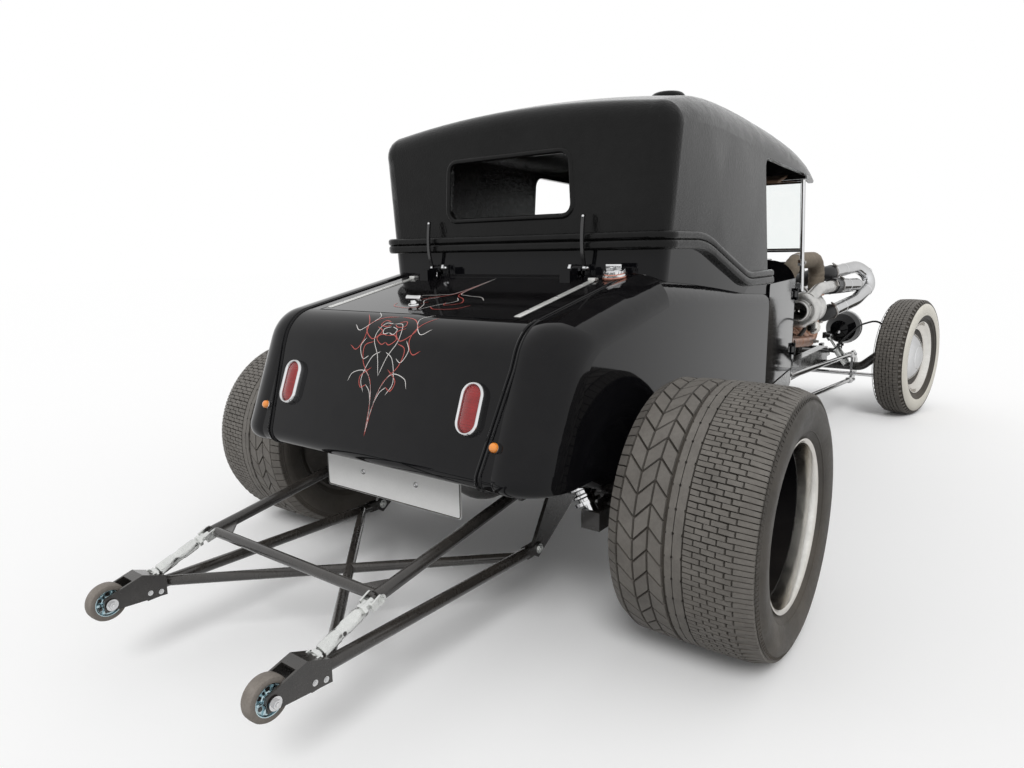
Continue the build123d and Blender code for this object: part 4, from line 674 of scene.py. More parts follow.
def build_rear_tyre(side):
    sizes = bpy.context.scene.rod_sizes
    radius, half, depth = sizes.rear_radius, sizes.rear_width / 2, sizes.tread_depth
    build = Build()
    tyre_body(build, radius, half, depth, 0.142, 160)
    pitch = 2 * math.pi / sizes.rear_pitches
    blocks = list(REAR_BLOCKS)
    for n, (low, high) in enumerate(zip(REAR_BANDS, REAR_BANDS[1:])):
        for k in range(BARS_A_REPEAT):
            step = BAR_STEP if k % 2 else -BAR_STEP
            near = low + (step if n else 0) + 0.8
            far = high + (step if n < len(REAR_BANDS) - 2 else 0) - 0.8
            a, b = (k + 0.12 * n) / BARS_A_REPEAT, (k + 0.12 * n + 0.86) / BARS_A_REPEAT
            blocks.append([(a, near), (b, near), (b + 0.05, far), (a + 0.05, far)])
    for start in range(sizes.rear_pitches):
        for corners in blocks:
            corners = [(a, v / 1000) for a, v in corners]
            tread_block(build, corners, pitch, start, radius, half - TREAD_INSET, depth, 1)
        for low, high in REAR_RIBS:
            for a0, a1, inset in ((0, 0.9, 0), (0.9, 1.0, RIB_NOTCH)):
                near, far = low / 1000 + inset, high / 1000 - inset
                verts = []
                for lift in (0.0, depth):
                    for a, v in ((a0, near), (a1, near), (a1, far), (a0, far)):
                        r = crown_radius(v, radius, half - TREAD_INSET) - lift
                        verts.append((r * math.cos((start + a) * pitch), r * math.sin((start + a) * pitch), v))
                build.add(verts, [(0, 1, 2, 3), (0, 4, 5, 1), (2, 6, 7, 3)], 1)
    for out in (1, -1):
        bead_rings(build, [(out * (half - 0.0075), radius - 0.03, 0.0016, 0.004),
                           (out * (half - 0.0012), 0.262, 0.001, 0.003),
                           (out * (half - 0.011), 0.2165, 0.0022, 0.006)])
        for k in range(SCUFF_BARS):
            turn = 2 * math.pi * k / SCUFF_BARS
            verts = []
            for r, v in ((radius - 0.0275, half - 0.0072), (radius - 0.0215, half - 0.0095)):
                for da in (-0.006, 0.006):
                    for lift in (0.0, 0.0014):
                        verts.append((r * math.cos(turn + da), r * math.sin(turn + da), out * (v + lift)))
            build.add(verts, [(1, 3, 7, 5), (0, 1, 5, 4), (2, 6, 7, 3), (0, 2, 3, 1), (4, 5, 7, 6)], 0)
    fit_tyre(build, "rear", side)


def build_front_tyre(side):
    sizes = bpy.context.scene.rod_sizes
    radius, half, depth = sizes.front_radius, sizes.front_width / 2, sizes.tread_depth
    build = Build()
    tyre_body(build, radius, half, depth, 0.052, 144)
    pitch = 2 * math.pi / sizes.front_pitches
    last = len(FRONT_RIBS) - 1
    for start in range(sizes.front_pitches):
        for n, (low, high) in enumerate(FRONT_RIBS):
            zig = FRONT_ZIGZAG if n % 2 else -FRONT_ZIGZAG
            rib_depth = depth if n in (0, last) else depth * 0.9
            for a0, a1, sway in ((0.0, 0.46, zig), (0.5, 0.96, -zig)):
                near, far = (sway if n else 0), (sway if n < last else 0)
                corners = [(a0, (low + near) / 1000), (a1, (low - near) / 1000), (a1, (high - far) / 1000),
                           (a0, (high + far) / 1000)]
                tread_block(build, corners, pitch, start, radius, half - TREAD_INSET, rib_depth, 1)
        for out in (1, -1):
            corners = [(0.05, out * 0.058), (0.42, out * 0.058), (0.42, out * 0.068), (0.05, out * 0.068)]
            tread_block(build, corners, pitch, start, radius, half - TREAD_INSET, depth * 0.6, 1)
    wall = [(half - 0.003, 0.229), (half - 0.0006, 0.232), (half + 0.0006, 0.24), (half + 0.0012, 0.256),
            (half + 0.0006, 0.272), (half - 0.0026, 0.2815), (half - 0.0062, 0.2905), (half - 0.0086, 0.2935)]
    build.lathe(wall, None, 144, 2)
    bead_rings(build, [(half - 0.004, 0.2285, 0.0022, 0.005), (half - 0.0085, 0.2955, 0.002, 0.004),
                       (half - 0.011, 0.2155, 0.002, 0.006), (-half + 0.004, 0.2945, 0.0015, 0.004),
                       (-half + 0.011, 0.2155, 0.002, 0.006)])
    fit_tyre(build, "front", side)


class ROD_OT_tyres(bpy.types.Operator):
    """Wide rear tyres with their block tread, and whitewall front tyres"""
    bl_idname = "rod.tyres"
    bl_label = "Tyres"

    def execute(self, context):
        for side in ("left", "right"):
            build_rear_tyre(side)
            build_front_tyre(side)
        return {"FINISHED"}


# The tail and the deck


DECK_SLOPE = 0.2
DECK_FRONT = (0.135, 0.855)
TAIL_Y = -0.48
TAIL_LEAN = 0.39
TAIL_ROLL = 0.113
TAIL_CURL = 0.035
TAIL_BOTTOM = 0.416
TAIL_LIP_Y = -0.305
TAIL_OUT = (0, -1, TAIL_LEAN)
DECK_UP = (0, -DECK_SLOPE, 1)
PROFILE_START_Y = 0.13
TAIL_SCROLL_Y = -0.288
LID_SCROLL_Y = -0.278
SCROLL_WIDEN = 1.4
STRIPE_LIFT = 0.0006
STRIPE_POINTS = 40
SCROLL_WIDTHS = (0.0024, 0.0019)
STRIP_X = 0.329
HANDLE_AT = (-0.055, -0.205)
FILLER_AT = (0.382, 0.098)
HINGE_X = 0.258
STAY_X = 0.281
SEAM_X = 0.4
SEAM_BEND_Z = 0.68
SEAM_FOOT_X = 0.36


def deck_z(y):
    return DECK_FRONT[1] - (DECK_FRONT[0] - y) * DECK_SLOPE


def tail_y(z):
    return TAIL_Y + (z - TAIL_BOTTOM) * TAIL_LEAN


def seam_x(z):
    """How far out the seam beside the tail panel is at height z."""
    share = max(0.0, min(1.0, (SEAM_BEND_Z - z) / (SEAM_BEND_Z - TAIL_BOTTOM)))
    return SEAM_X - (SEAM_X - SEAM_FOOT_X) * share


def tail_profile():
    """The body's middle in side view, from the deck's front over the roll to the curl below, as (y, z)."""
    corner_y = tail_y(deck_z(0)) / (1 - TAIL_LEAN * DECK_SLOPE)
    corners = [(0, PROFILE_START_Y, deck_z(PROFILE_START_Y)), (0, corner_y, deck_z(corner_y)),
               (0, TAIL_Y, TAIL_BOTTOM), (0, TAIL_LIP_Y, TAIL_BOTTOM)]
    points = rounded(corners, (TAIL_ROLL, TAIL_CURL), 16)
    fine = []
    for a, b in zip(points, points[1:]):
        parts = max(1, math.ceil((b - a).length / 0.03))
        fine += [a.lerp(b, k / parts) for k in range(parts)]
    return [(p.y, p.z) for p in fine + points[-1:]]


def along_profile(points, distance):
    """The (y, z) point and the outward (y, z) direction at a distance along the profile."""
    for (y0, z0), (y1, z1) in zip(points, points[1:]):
        length = math.hypot(y1 - y0, z1 - z0)
        if distance <= length:
            t = distance / length
            return (y0 + (y1 - y0) * t, z0 + (z1 - z0) * t), ((z1 - z0) / length, -(y1 - y0) / length)
        distance -= length
    return points[-1], (0, -1)


def stripe(build, curve, place, width, slot):
    """A painted line along (across, along) points that place puts on the body; it tapers to both ends."""
    flat = [Vector((u, s, 0)) for u, s in curve]
    line = smooth_curve(flat, STRIPE_POINTS)
    rows = []
    for i, point in enumerate(line):
        ahead = (line[min(i + 1, STRIPE_POINTS - 1)] - line[max(i - 1, 0)]).normalized()
        side = Vector((-ahead.y, ahead.x, 0))
        half = width / 2 * min(1.0, 0.15 + 3.2 * math.sin(math.pi * i / (STRIPE_POINTS - 1)))
        edges = (point - side * half, point + side * half)
        rows.append([place(edge.x, edge.y, STRIPE_LIFT) for edge in edges])
    build.sheet(rows, slot)


# Scroll lines as (across, along) points from the middle line; each is drawn on both sides
TAIL_SCROLLS = [
    (0, [(0.002, 0.02), (0.04, 0.03), (0.062, 0.066), (0.036, 0.098), (0.018, 0.076), (0.036, 0.062)]),
    (0, [(0.0, 0.34), (0.004, 0.265), (0.016, 0.205), (0.044, 0.16), (0.05, 0.118), (0.028, 0.104)]),
    (0, [(0.088, 0.016), (0.064, 0.052), (0.056, 0.096), (0.07, 0.128), (0.088, 0.118)]),
    (1, [(0.0, 0.05), (0.022, 0.052), (0.03, 0.096), (0.012, 0.14), (0.0, 0.19)]),
    (1, [(0.0, 0.3), (0.01, 0.225), (0.032, 0.182), (0.064, 0.188), (0.074, 0.212)]),
    (1, [(0.07, 0.0), (0.05, 0.03), (0.074, 0.076), (0.096, 0.06)]),
    (1, [(0.006, 0.128), (0.026, 0.146), (0.04, 0.2), (0.028, 0.234)]),
    (0, [(0.01, 0.044), (0.026, 0.04), (0.03, 0.056), (0.014, 0.06), (0.004, 0.052)]),
    (0, [(0.0, 0.086), (0.016, 0.084), (0.024, 0.096), (0.01, 0.11), (0.0, 0.104)]),
    (1, [(0.0, 0.33), (0.003, 0.27), (0.012, 0.232), (0.026, 0.214)]),
    (1, [(0.05, 0.096), (0.06, 0.12), (0.048, 0.15), (0.034, 0.142)]),
    (0, [(0.02, 0.17), (0.044, 0.196), (0.038, 0.222), (0.024, 0.214)]),
    (1, [(0.002, 0.06), (0.016, 0.068), (0.012, 0.082), (0.0, 0.078)]),
]
LID_SCROLLS = [
    (0, [(0.0, 0.33), (0.002, 0.23), (0.012, 0.17), (0.042, 0.14), (0.06, 0.1), (0.034, 0.078),
         (0.022, 0.104)]),
    (1, [(0.0, 0.36), (0.006, 0.2), (0.034, 0.172), (0.074, 0.16), (0.098, 0.13)]),
    (0, [(0.01, 0.06), (0.034, 0.04), (0.078, 0.052), (0.092, 0.086)]),
    (1, [(0.0, 0.03), (0.016, 0.074), (0.04, 0.116), (0.022, 0.15)]),
]


def build_stripes():
    """Two thin scroll designs in red and white, one on the tail and one on the lid."""
    profile = tail_profile()
    run = PROFILE_START_Y - TAIL_SCROLL_Y
    start = math.hypot(run, run * DECK_SLOPE)

    def on_tail(u, s, lift):
        (y, z), (ny, nz) = along_profile(profile, start + s)
        return at(u, y + ny * lift, z + nz * lift)

    def on_lid(u, s, lift):
        y = LID_SCROLL_Y + s
        return at(u, y - DECK_SLOPE * lift, deck_z(y) + lift)

    designs = [("tail_stripes", "chassis", TAIL_SCROLLS, on_tail),
               ("lid_stripes", "deck_lid", LID_SCROLLS, on_lid)]
    for name, body, scrolls, place in designs:
        build = Build()
        for slot, curve in scrolls:
            for side in (1, -1):
                points = [(side * u * SCROLL_WIDEN, s) for u, s in curve]
                stripe(build, points, place, SCROLL_WIDTHS[slot], slot)
        build.piece(name, "stripe_red stripe_white", body, "black_paint")


def build_seam_beads():
    """A pair of thin beads each side, with the dark joint between tail panel and quarter between them."""
    build = Build()
    for side in (1, -1):
        for gap in (-0.0055, 0.0055):
            build.tube([at(side * (seam_x(z) + gap), y, z) for y, z in tail_profile()], 0.0036, 8, 0)
    build.piece("seam_beads", "gloss_black_paint", "chassis", "black_paint")


def build_lid_trim():
    """The bright strips along both edges of the lid, and the handle's plate and screws."""
    build = Build()
    for side in (1, -1):
        x = side * STRIP_X
        rows = []
        for y in (-0.268, -0.264, 0.062, 0.066):
            edge = y in (-0.268, 0.066)
            half, lift = (0.0085, 0.0008) if edge else (0.0095, 0.0026)
            z = deck_z(y)
            rows.append([at(x - half, y, z + 0.0004), at(x - half * 0.7, y, z + lift),
                         at(x + half * 0.7, y, z + lift), at(x + half, y, z + 0.0004)])
        build.sheet(rows, 1)
        build.box((0.022, 0.02, 0.008), standing(x, 0.076, deck_z(0.076) + 0.003), 0.002, 1)
        for y in (-0.22, -0.1, 0.02):
            build.turned([(0, 4), (1.2, 3.5), (1.6, 0)], facing(x, y, deck_z(y) + 0.0026, DECK_UP), 12, 0)
    x, y = HANDLE_AT
    place = facing(x, y, deck_z(y) + 0.0003, DECK_UP)
    build.turned([(0, 17), (3, 16), (4, 10), (10, 9), (13, 8.5)], place, 24, 0)
    build.turned([(-26, 0), (-26, 5), (-24, 7.5), (-10, 6.8), (10, 6.8), (24, 7.5), (26, 5), (26, 0)],
                 facing(x, y, deck_z(y) + 0.018, (1, 0, 0)), 20, 0)
    build.piece("lid_trim", "show_chrome bright_strip", "deck_lid", "chrome")


def build_filler_cap():
    """The pink anodised neck ring with its finned bright cap."""
    build = Build()
    x, y = FILLER_AT
    place = facing(x, y, deck_z(y) + 0.0005, DECK_UP)
    build.turned([(0, 33.5), (3, 34.5), (8, 34), (10, 31), (15, 30), (16, 26)], place, 40, 0)
    build.bolts(on_circle(place, 8, 0.0295, 0.0095), 0.0022, 0.0022, 1)
    build.turned([(14, 26.5), (22, 26.5), (24.5, 24.5), (26, 20), (26, 0)], place, 40, 1)
    for rib in round_circle(place, 20, 0.0268, 0.018):
        build.box((0.0026, 0.004, 0.008), rib, 0.0006, 1, 1)
    build.box((0.046, 0.0085, 0.013), place @ shift(0, 0, 0.0325), 0.003, 1)
    build.box((0.0085, 0.03, 0.009), place @ shift(0, 0, 0.03), 0.0025, 1)
    build.piece("filler_cap_dress", "anodised_pink show_chrome", "chassis", "chrome")


def build_hinge_dress():
    """Hinge pin ends and screws on the chrome brackets, and the thin black stays over the CAD ones."""
    build = Build()
    for side in (1, -1):
        x = side * HINGE_X
        for out in (-1, 1):
            pin = facing(x + out * 0.0275, 0.118, 0.874, (out, 0, 0))
            build.turned([(0, 7), (4, 6.5), (6, 4), (6, 0)], pin, 16, 0)
            build.bolt(facing(x + out * 0.017, 0.126, deck_z(0.126) + 0.0045, DECK_UP), 0.0032, 0.003, 0)
        build.bolt(facing(x, 0.068, 0.8655, DECK_UP), 0.004, 0.003, 0)
        stay_x = side * STAY_X
        line = smooth_curve([at(stay_x, 0.11, 0.88), at(stay_x, 0.101, 0.915), at(stay_x, 0.0985, 0.95),
                             at(stay_x, 0.1005, 0.985), at(stay_x, 0.1045, 1.013)], 18)
        section = [(-1, -1), (1, -1), (1, 1), (-1, 1), (-1, -1)]
        build.sheet([[point + Vector((a * 0.0045, b * 0.0035, 0)) for a, b in section] for point in line], 1)
        build.box((0.01, 0.008, 0.006), standing(stay_x, 0.105, 1.014), 0.002, 1)
    build.piece("hinge_dress", "show_chrome frame_black_paint", "chassis", "chrome")


class ROD_OT_deck(bpy.types.Operator):
    """Stripes, seam beads, the lid's bright trim, hinges and filler cap"""
    bl_idname = "rod.deck"
    bl_label = "Deck and tail trim"

    def execute(self, context):
        build_stripes()
        build_seam_beads()
        build_lid_trim()
        build_filler_cap()
        build_hinge_dress()
        return {"FINISHED"}


# Lamps and plate


def slot_outline(half_long, half_wide, count=48):
    """Points round an upright oval with straight sides, as (x, z)."""
    straight = half_long - half_wide
    points = []
    for k in range(count):
        turn = 2 * math.pi * (k + 0.5) / count
        up = straight if math.sin(turn) > 0 else -straight
        points.append((half_wide * math.cos(turn), half_wide * math.sin(turn) + up))
    return points


def ring_stack(build, rings, place, slot, close_last=False):
    """Joins outlines of the same number of points, each at its own height along the local Z."""
    count = len(rings[0][0])
    verts = [(x, y, height) for outline, height in rings for x, y in outline]
    faces = quads(len(rings), count, True)
    if close_last:
        faces.append(tuple((len(rings) - 1) * count + k for k in range(count)))
    build.add(verts, faces, slot, place)


LIGHT_AT = (0.314, 0.585)
LIGHT_HALF = (0.061, 0.032)
LIGHT_STEPS = 72
MARKER_AT = (0.398, 0.517)
PLATE_Y = -0.3785
PLATE_Z = 0.362


def on_tail_wall(side, spot):
    """A place on the leaning tail, facing out of it, for a lamp at (across, up)."""
    x, z = spot
    return facing(side * x, tail_y(z), z, TAIL_OUT)


def build_tail_light(build, side):
    half_long, half_wide = LIGHT_HALF
    place = on_tail_wall(side, LIGHT_AT)
    bezel = [(0.0, -0.004), (0.0, 0.009), (0.0012, 0.0135), (0.0035, 0.016), (0.006, 0.0155), (0.0082, 0.0125),
             (0.009, 0.007)]
    ring_stack(build, [(slot_outline(half_long - d, half_wide - d), h) for d, h in bezel], place, 0)
    a, b = half_long - 0.0087, half_wide - 0.0087
    rows = []
    for i in range(LIGHT_STEPS + 1):
        z = -a * math.cos(math.pi * i / LIGHT_STEPS)
        over = abs(z) - (a - b)
        w = b if over <= 0 else math.sqrt(max(0.0, b * b - over * over))
        rib = 0.0011 * abs(math.sin(math.pi * z / 0.0062))
        row = []
        for k in range(13):
            t = -1 + 2 * k / 12
            dome = 0.0065 * (1 - t * t) * (1 - (z / a) ** 4)
            row.append(place @ Vector((w * t, z, 0.008 + dome + (rib if abs(t) < 0.98 else 0))))
        rows.append(row)
    build.sheet(rows, 1)


class ROD_OT_lamps(bpy.types.Operator):
    """Ribbed oval tail lights in bright bezels, round marker lamps, and the plate's rim and bolts"""
    bl_idname = "rod.lamps"
    bl_label = "Lamps and plate"

    def execute(self, context):
        build = Build()
        for side in (1, -1):
            build_tail_light(build, side)
            place = on_tail_wall(side, MARKER_AT)
            build.turned([(-4, 12.5), (6, 12.5), (8.5, 11.5)], place, 28, 0)
            build.turned([(6, 11.2), (12, 10.4), (16, 7.8), (18, 4), (18.5, 0)], place, 28, 2)
        build.piece("rear_lamp_dress", "show_chrome red_lens amber_lens", "chassis", "lamp_red",
                    replaces=["rear_lamps"])
        self.build_plate_dress()
        return {"FINISHED"}

    def build_plate_dress(self):
        build = Build()
        half, low, high, curve = 0.2305, 0.3115, 0.4025, 0.007
        corners = []
        for cx, cz, first in ((half, high, 0), (-half, high, 90), (-half, low, 180), (half, low, 270)):
            for k in range(5):
                turn = math.radians(first + 22.5 * k)
                corners.append(at(cx + curve * math.cos(turn), PLATE_Y, cz + curve * math.sin(turn)))
        build.tube(corners + corners[:2], 0.0014, 8, 0, capped=False)
        for x in (-0.095, 0.095):
            build.bolt(facing(x, PLATE_Y + 0.0006, PLATE_Z, (0, -1, 0)), 0.0048, 0.0048, 1)
        build.piece("plate_dress", "frame_black_paint show_chrome", "chassis", "chrome")


# Wheelie bars


BAR_X = 0.292
BUCKLE_START = (-0.698, 0.259)
BUCKLE_END = (-0.87, 0.198)
BUCKLE_PIN_X = 0.0155
GUSSET_THICKNESS = 0.004
CASTER_AT = (-0.953, 0.184)


def build_turnbuckle(build, side):
    x = side * BAR_X
    start, end = at(x, *BUCKLE_START), at(x, *BUCKLE_END)
    run = end - start
    along = run.normalized()
    build.tube([start + run * 0.05, start + run * 0.93], 0.008, 16, 0)
    body = [(0.24, 0.0085), (0.25, 0.0125), (0.28, 0.014), (0.46, 0.014), (0.475, 0.0125), (0.565, 0.0125),
            (0.58, 0.014), (0.78, 0.014), (0.8, 0.0125), (0.81, 0.0085)]
    place = axis_place(start, along)
    build.lathe([(t * run.length, r) for t, r in body], place, 28, 0)
    for t in (0.2, 0.845):
        build.prism(hexagon(0.0135), -0.0035, 0.0045, place @ shift(0, 0, t * run.length), 0)
    hole = start + run * 0.52 + Vector((side * 0.0123, 0, 0))
    build.turned([(0, 4.6), (0.6, 4), (0.6, 0)], axis_place(hole, (side, 0, 0)), 14, 1)
    for point, reach in ((start, along), (end, -along)):
        for out in (-1, 1):
            plate = axis_place(point + Vector((out * BUCKLE_PIN_X, 0, 0)), (1, 0, 0), reach)
            turns = [math.radians(-180 + 18 * k) for k in range(11)]
            outline = [(0.011 * math.cos(t), 0.011 * math.sin(t)) for t in turns]
            outline += [(0.009, 0.026), (-0.009, 0.026)]
            build.prism(outline, -0.0022, 0.0022, plate, 0)
            build.bolt(beside(point, out, 0.0178), 0.0062, 0.005, 0)
        pin = point + reach * 0.02
        across = Vector((BUCKLE_PIN_X, 0, 0))
        build.tube([pin - across, pin + across], 0.007, 12, 0)


def build_gusset(build, corner, first, second, reach):
    """A flat triangular plate between two tubes that meet at the corner."""
    first, second = Vector(first).normalized(), Vector(second).normalized()
    normal = first.cross(second).normalized() * GUSSET_THICKNESS / 2
    corner = Vector(corner)
    flat = [corner, corner + first * reach, corner + second * reach]
    build.add([p - normal for p in flat] + [p + normal for p in flat],
              [(2, 1, 0), (3, 4, 5), (0, 1, 4, 3), (1, 2, 5, 4), (2, 0, 3, 5)], 1)


class ROD_OT_wheelie(bpy.types.Operator):
    """Bright turnbuckles, gussets, bolts and caster wheels on the wheelie bars"""
    bl_idname = "rod.wheelie"
    bl_label = "Wheelie bars and casters"

    def execute(self, context):
        build = Build()
        for side in (1, -1):
            x = side * BAR_X
            build_turnbuckle(build, side)
            inner = Vector((-side, 0, 0))
            build_gusset(build, at(x - side * 0.01, -0.69, 0.26), inner, (0, 0.466, 0.077), 0.06)
            for out in (-1, 1):
                build.bolt(facing(x + out * 0.0118, -0.149, 0.165, (out, 0, 0)), 0.0088, 0.007, 0)
                build.bolt(facing(x + out * 0.0275, *CASTER_AT, (out, 0, 0)), 0.0085, 0.0075, 2)
                for y, z in ((-0.846, 0.17), (-0.87, 0.176)):
                    build.bolt(facing(x + out * 0.0252, y, z, (out, 0, 0)), 0.004, 0.003, 2)
        build.piece("wheelie_dress", "bright_zinc frame_black_paint show_chrome", "chassis", "chrome", 40)
        for name, side in (("left", -1), ("right", 1)):
            self.build_caster(name, side)
        return {"FINISHED"}

    def build_caster(self, name, side):
        build = Build()
        place = facing(side * BAR_X, *CASTER_AT, (side, 0, 0))
        build.turned([(-14, 29), (-15, 34), (-13.5, 38.5), (-9.5, 40.5), (0, 41), (9.5, 40.5), (13.5, 38.5),
                      (15, 34), (14, 29)], place, 56, 0)
        for out in (1, -1):
            face = place if out > 0 else place @ turn_about("X", math.pi)
            build.turned([(14, 29.2), (13.8, 27.5), (10, 26.2), (8.6, 24), (8, 15), (9.6, 13.5), (14, 12.8)],
                         face, 48, 1)
            for spoke in round_circle(face, 6, 0.0195, 0.0098):
                build.box((0.011, 0.0052, 0.0034), spoke, 0.0014, 1)
            for hole in round_circle(face, 6, 0.0195, 0.0084, 0.5):
                build.turned([(0, 4.4), (0.6, 4), (0.6, 0)], hole, 14, 2)
            build.turned([(13.5, 13), (15.2, 12), (15.2, 0)], face, 28, 2)
        build.piece(f"caster_dress_{name}", "caster_rubber blue_zinc frame_black_paint", f"caster_{name}",
                    "caster_grey", 30, [f"caster_wheel_{name}"])


# Wheels


class ROD_OT_wheels(bpy.types.Operator):
    """Deep polished rear rims with black centres, and front rims with domed bright caps"""
    bl_idname = "rod.wheels"
    bl_label = "Wheels"

    def execute(self, context):
        for side in ("left", "right"):
            self.rear(side)
            self.front(side)
        return {"FINISHED"}

    def rear(self, side):
        build = Build()
        place = wheel_place(side, "rear")
        build.turned([(150, 196), (151.2, 196.8), (151.2, 195), (150, 190.5), (147, 186.8), (140, 184.8),
                      (124, 183.6), (106, 182.2)], place, 128, 0)
        build.turned([(106, 182.2), (105, 180.2), (60, 178), (54, 176), (50, 165), (40, 163), (-5, 162)],
                     place, 128, 2)
        build.turned([(-150, 196.7), (-150, 188), (-112, 182.5), (-102, 167), (-25, 165)], place, 96, 1)
        build.turned([(150, 196.7), (144, 196.7), (144, 188)], place, 128, 0)
        build.turned([(-6, 164), (-8, 160), (-6, 154), (-9, 148), (-15, 120), (-16, 95), (-10, 86), (-6, 80),
                      (-5, 52), (0, 48), (20, 46), (26, 42), (29, 30), (30, 0)], place, 96, 2)
        build.turned([(-30, 164), (-30, 60), (-20, 60)], place, 64, 1)
        for nut in on_circle(place, 5, 0.066, -0.0055, 0.25):
            build.turned([(0, 12.5), (4, 12), (18, 10.5), (23, 7), (24, 0)], nut, 18, 3)
        for rivet in on_circle(place, 16, 0.1555, -0.0075):
            build.turned([(0, 4), (2.4, 3.6), (3, 0)], rivet, 12, 3)
        stem = [Vector((0.15, 0.093, 0.006)), Vector((0.148, 0.0925, 0.024)), Vector((0.142, 0.09, 0.046))]
        build.tube([place @ p for p in smooth_curve(stem, 8)], [0.0048] * 5 + [0.0042] * 3, 14, 4)
        build.piece(f"rear_rim_{side}", "polished_alloy dark_steel gloss_black_paint show_chrome hose_rubber",
                    f"rear_wheel_{side}", "rim_bright", 28, [f"rear_wheel_{side}"])

    def front(self, side):
        build = Build()
        place = wheel_place(side, "front")
        build.turned([(59, 196.6), (60.6, 196), (60.4, 192.5), (56, 188), (47, 184), (40, 179), (34, 170),
                      (31, 160), (30, 153.5)], place, 128, 0)
        build.turned([(30, 155), (22, 150), (16, 144), (13, 138)], place, 96, 2)
        build.turned([(59, 196.6), (53, 196.6), (53, 188)], place, 96, 0)
        build.turned([(-59, 196.6), (-59, 188), (-20, 180), (-10, 165), (2, 160), (2, 50)], place, 96, 2)
        build.turned([(11, 142.5), (12.5, 143), (15, 141.8), (17, 138.5), (20, 134), (30, 122), (42, 104),
                      (51, 86), (56, 70), (57.5, 64), (60, 62.5), (61.5, 60), (62.5, 56), (68, 42), (71.2, 28),
                      (72.5, 14), (72.8, 0)], place, 128, 1)
        build.piece(f"front_rim_{side}", "polished_alloy show_chrome dark_steel", f"front_wheel_{side}",
                    "rim_bright", 28, [f"front_wheel_{side}"])


# Engine


# The corner points of the two charge pipes
CHARGE_FIRST = [(0.392, 2.38, 0.786), (0.47, 2.64, 0.812), (0.545, 2.77, 0.735), (0.495, 2.54, 0.64),
                (0.42, 2.29, 0.59)]
CHARGE_SECOND = [(0.448, 2.29, 0.728), (0.49, 2.56, 0.722), (0.43, 2.7, 0.7), (0.265, 2.5, 0.69)]
CHARGE_RADIUS = 0.032
HOSE_RADIUS = 0.038
HEADER_PORTS = (1.88, 1.975, 2.07, 2.15)
HEADER_RADIUS = 0.019
PORT_Z = 0.585
COLLECTOR_X = 0.372
COLLECTOR_END_Y = 2.205
COLLECTOR_RADIUS = 0.026
# The corner points of the wrapped pipe, from the collector up and over, and the radii of its bends
WRAP_ROUTE = [(COLLECTOR_X, COLLECTOR_END_Y, 0.6905), (COLLECTOR_X, COLLECTOR_END_Y, 0.858),
              (0.362, 1.838, 0.858), (0.296, 1.806, 0.69), (0.296, 1.806, 0.43)]
WRAP_BENDS = (0.088, 0.075, 0.09)
WRAP_RADIUS = 0.036
TURBO = (0.395, 0.632)
TURBO_MOUTH_Y = 1.815
TURBO_FACE_Y = 1.8497
TURBO_MIDDLE_Y = 1.9675
# Each band round the turbocharger: its y, radius and width
TURBO_BANDS = [(1.9315, 0.062, 0.01), (2.0, 0.052, 0.01), (2.068, 0.056, 0.012)]
BLOCK_X = 0.1703
COVER_Z = 0.789
OIL_CAP_AT = (0.015, 2.34, COVER_Z)
BREATHER_AT = (0.04, 1.89, COVER_Z)
OIL_FILTER_AT = (BLOCK_X, 2.29, 0.4)
CORE_PLUG_AT = (BLOCK_X, 1.86, 0.4)
SPARK_PLUG_AT = (0.1503, 1.905, 0.668)
CYLINDER_PITCH = 0.13
CRANK_Z = 0.33
PULLEY_Y = 2.45
PULLEY_RADIUS = 0.078
# The corners of one compressor blade: radius, turn and place along the axis
TURBO_BLADE = [(0.01, 0, -0.018), (0.0355, 0.25, -0.021), (0.0355, 0.45, -0.032), (0.01, 0.5, -0.032)]


def ring_at(build, place, radius, width, height, slot, steps=40):
    """A band round a pipe whose line is the local Z."""
    half = width / 2
    build.lathe([(-half, radius), (-half, radius + height), (half, radius + height), (half, radius)], place,
                steps, slot)


def clamp_at(build, point, along, radius, slot, screw_to):
    """A worm clamp: a thin band with its screw in a small housing."""
    place = axis_place(point, along, screw_to)
    ring_at(build, place, radius, 0.012, 0.0014, slot)
    ring_at(build, place, radius, 0.004, 0.002, slot)
    build.box((0.024, 0.01, 0.013), place @ shift(0, radius + 0.0055, 0), 0.0025, slot)
    screw = place @ shift(0.012, radius + 0.0075, 0) @ turn_about("Y", math.pi / 2)
    build.turned([(0, 4.2), (6, 4.2), (7, 3), (6.4, 0)], screw, 12, slot)


def weld_bead(build, point, along, radius, slot):
    place = axis_place(point, along)
    build.lathe([(-0.0025, radius), (-0.0012, radius + 0.0013), (0.0012, radius + 0.0013), (0.0025, radius)],
                place, 40, slot)


def resampled(points, step):
    """Points a fixed step apart along a line, and each one's direction."""
    out, carried = [], 0.0
    for a, b in zip(points, points[1:]):
        length = (b - a).length
        while carried < length:
            out.append((a.lerp(b, carried / length), (b - a).normalized()))
            carried += step
        carried -= length
    return out


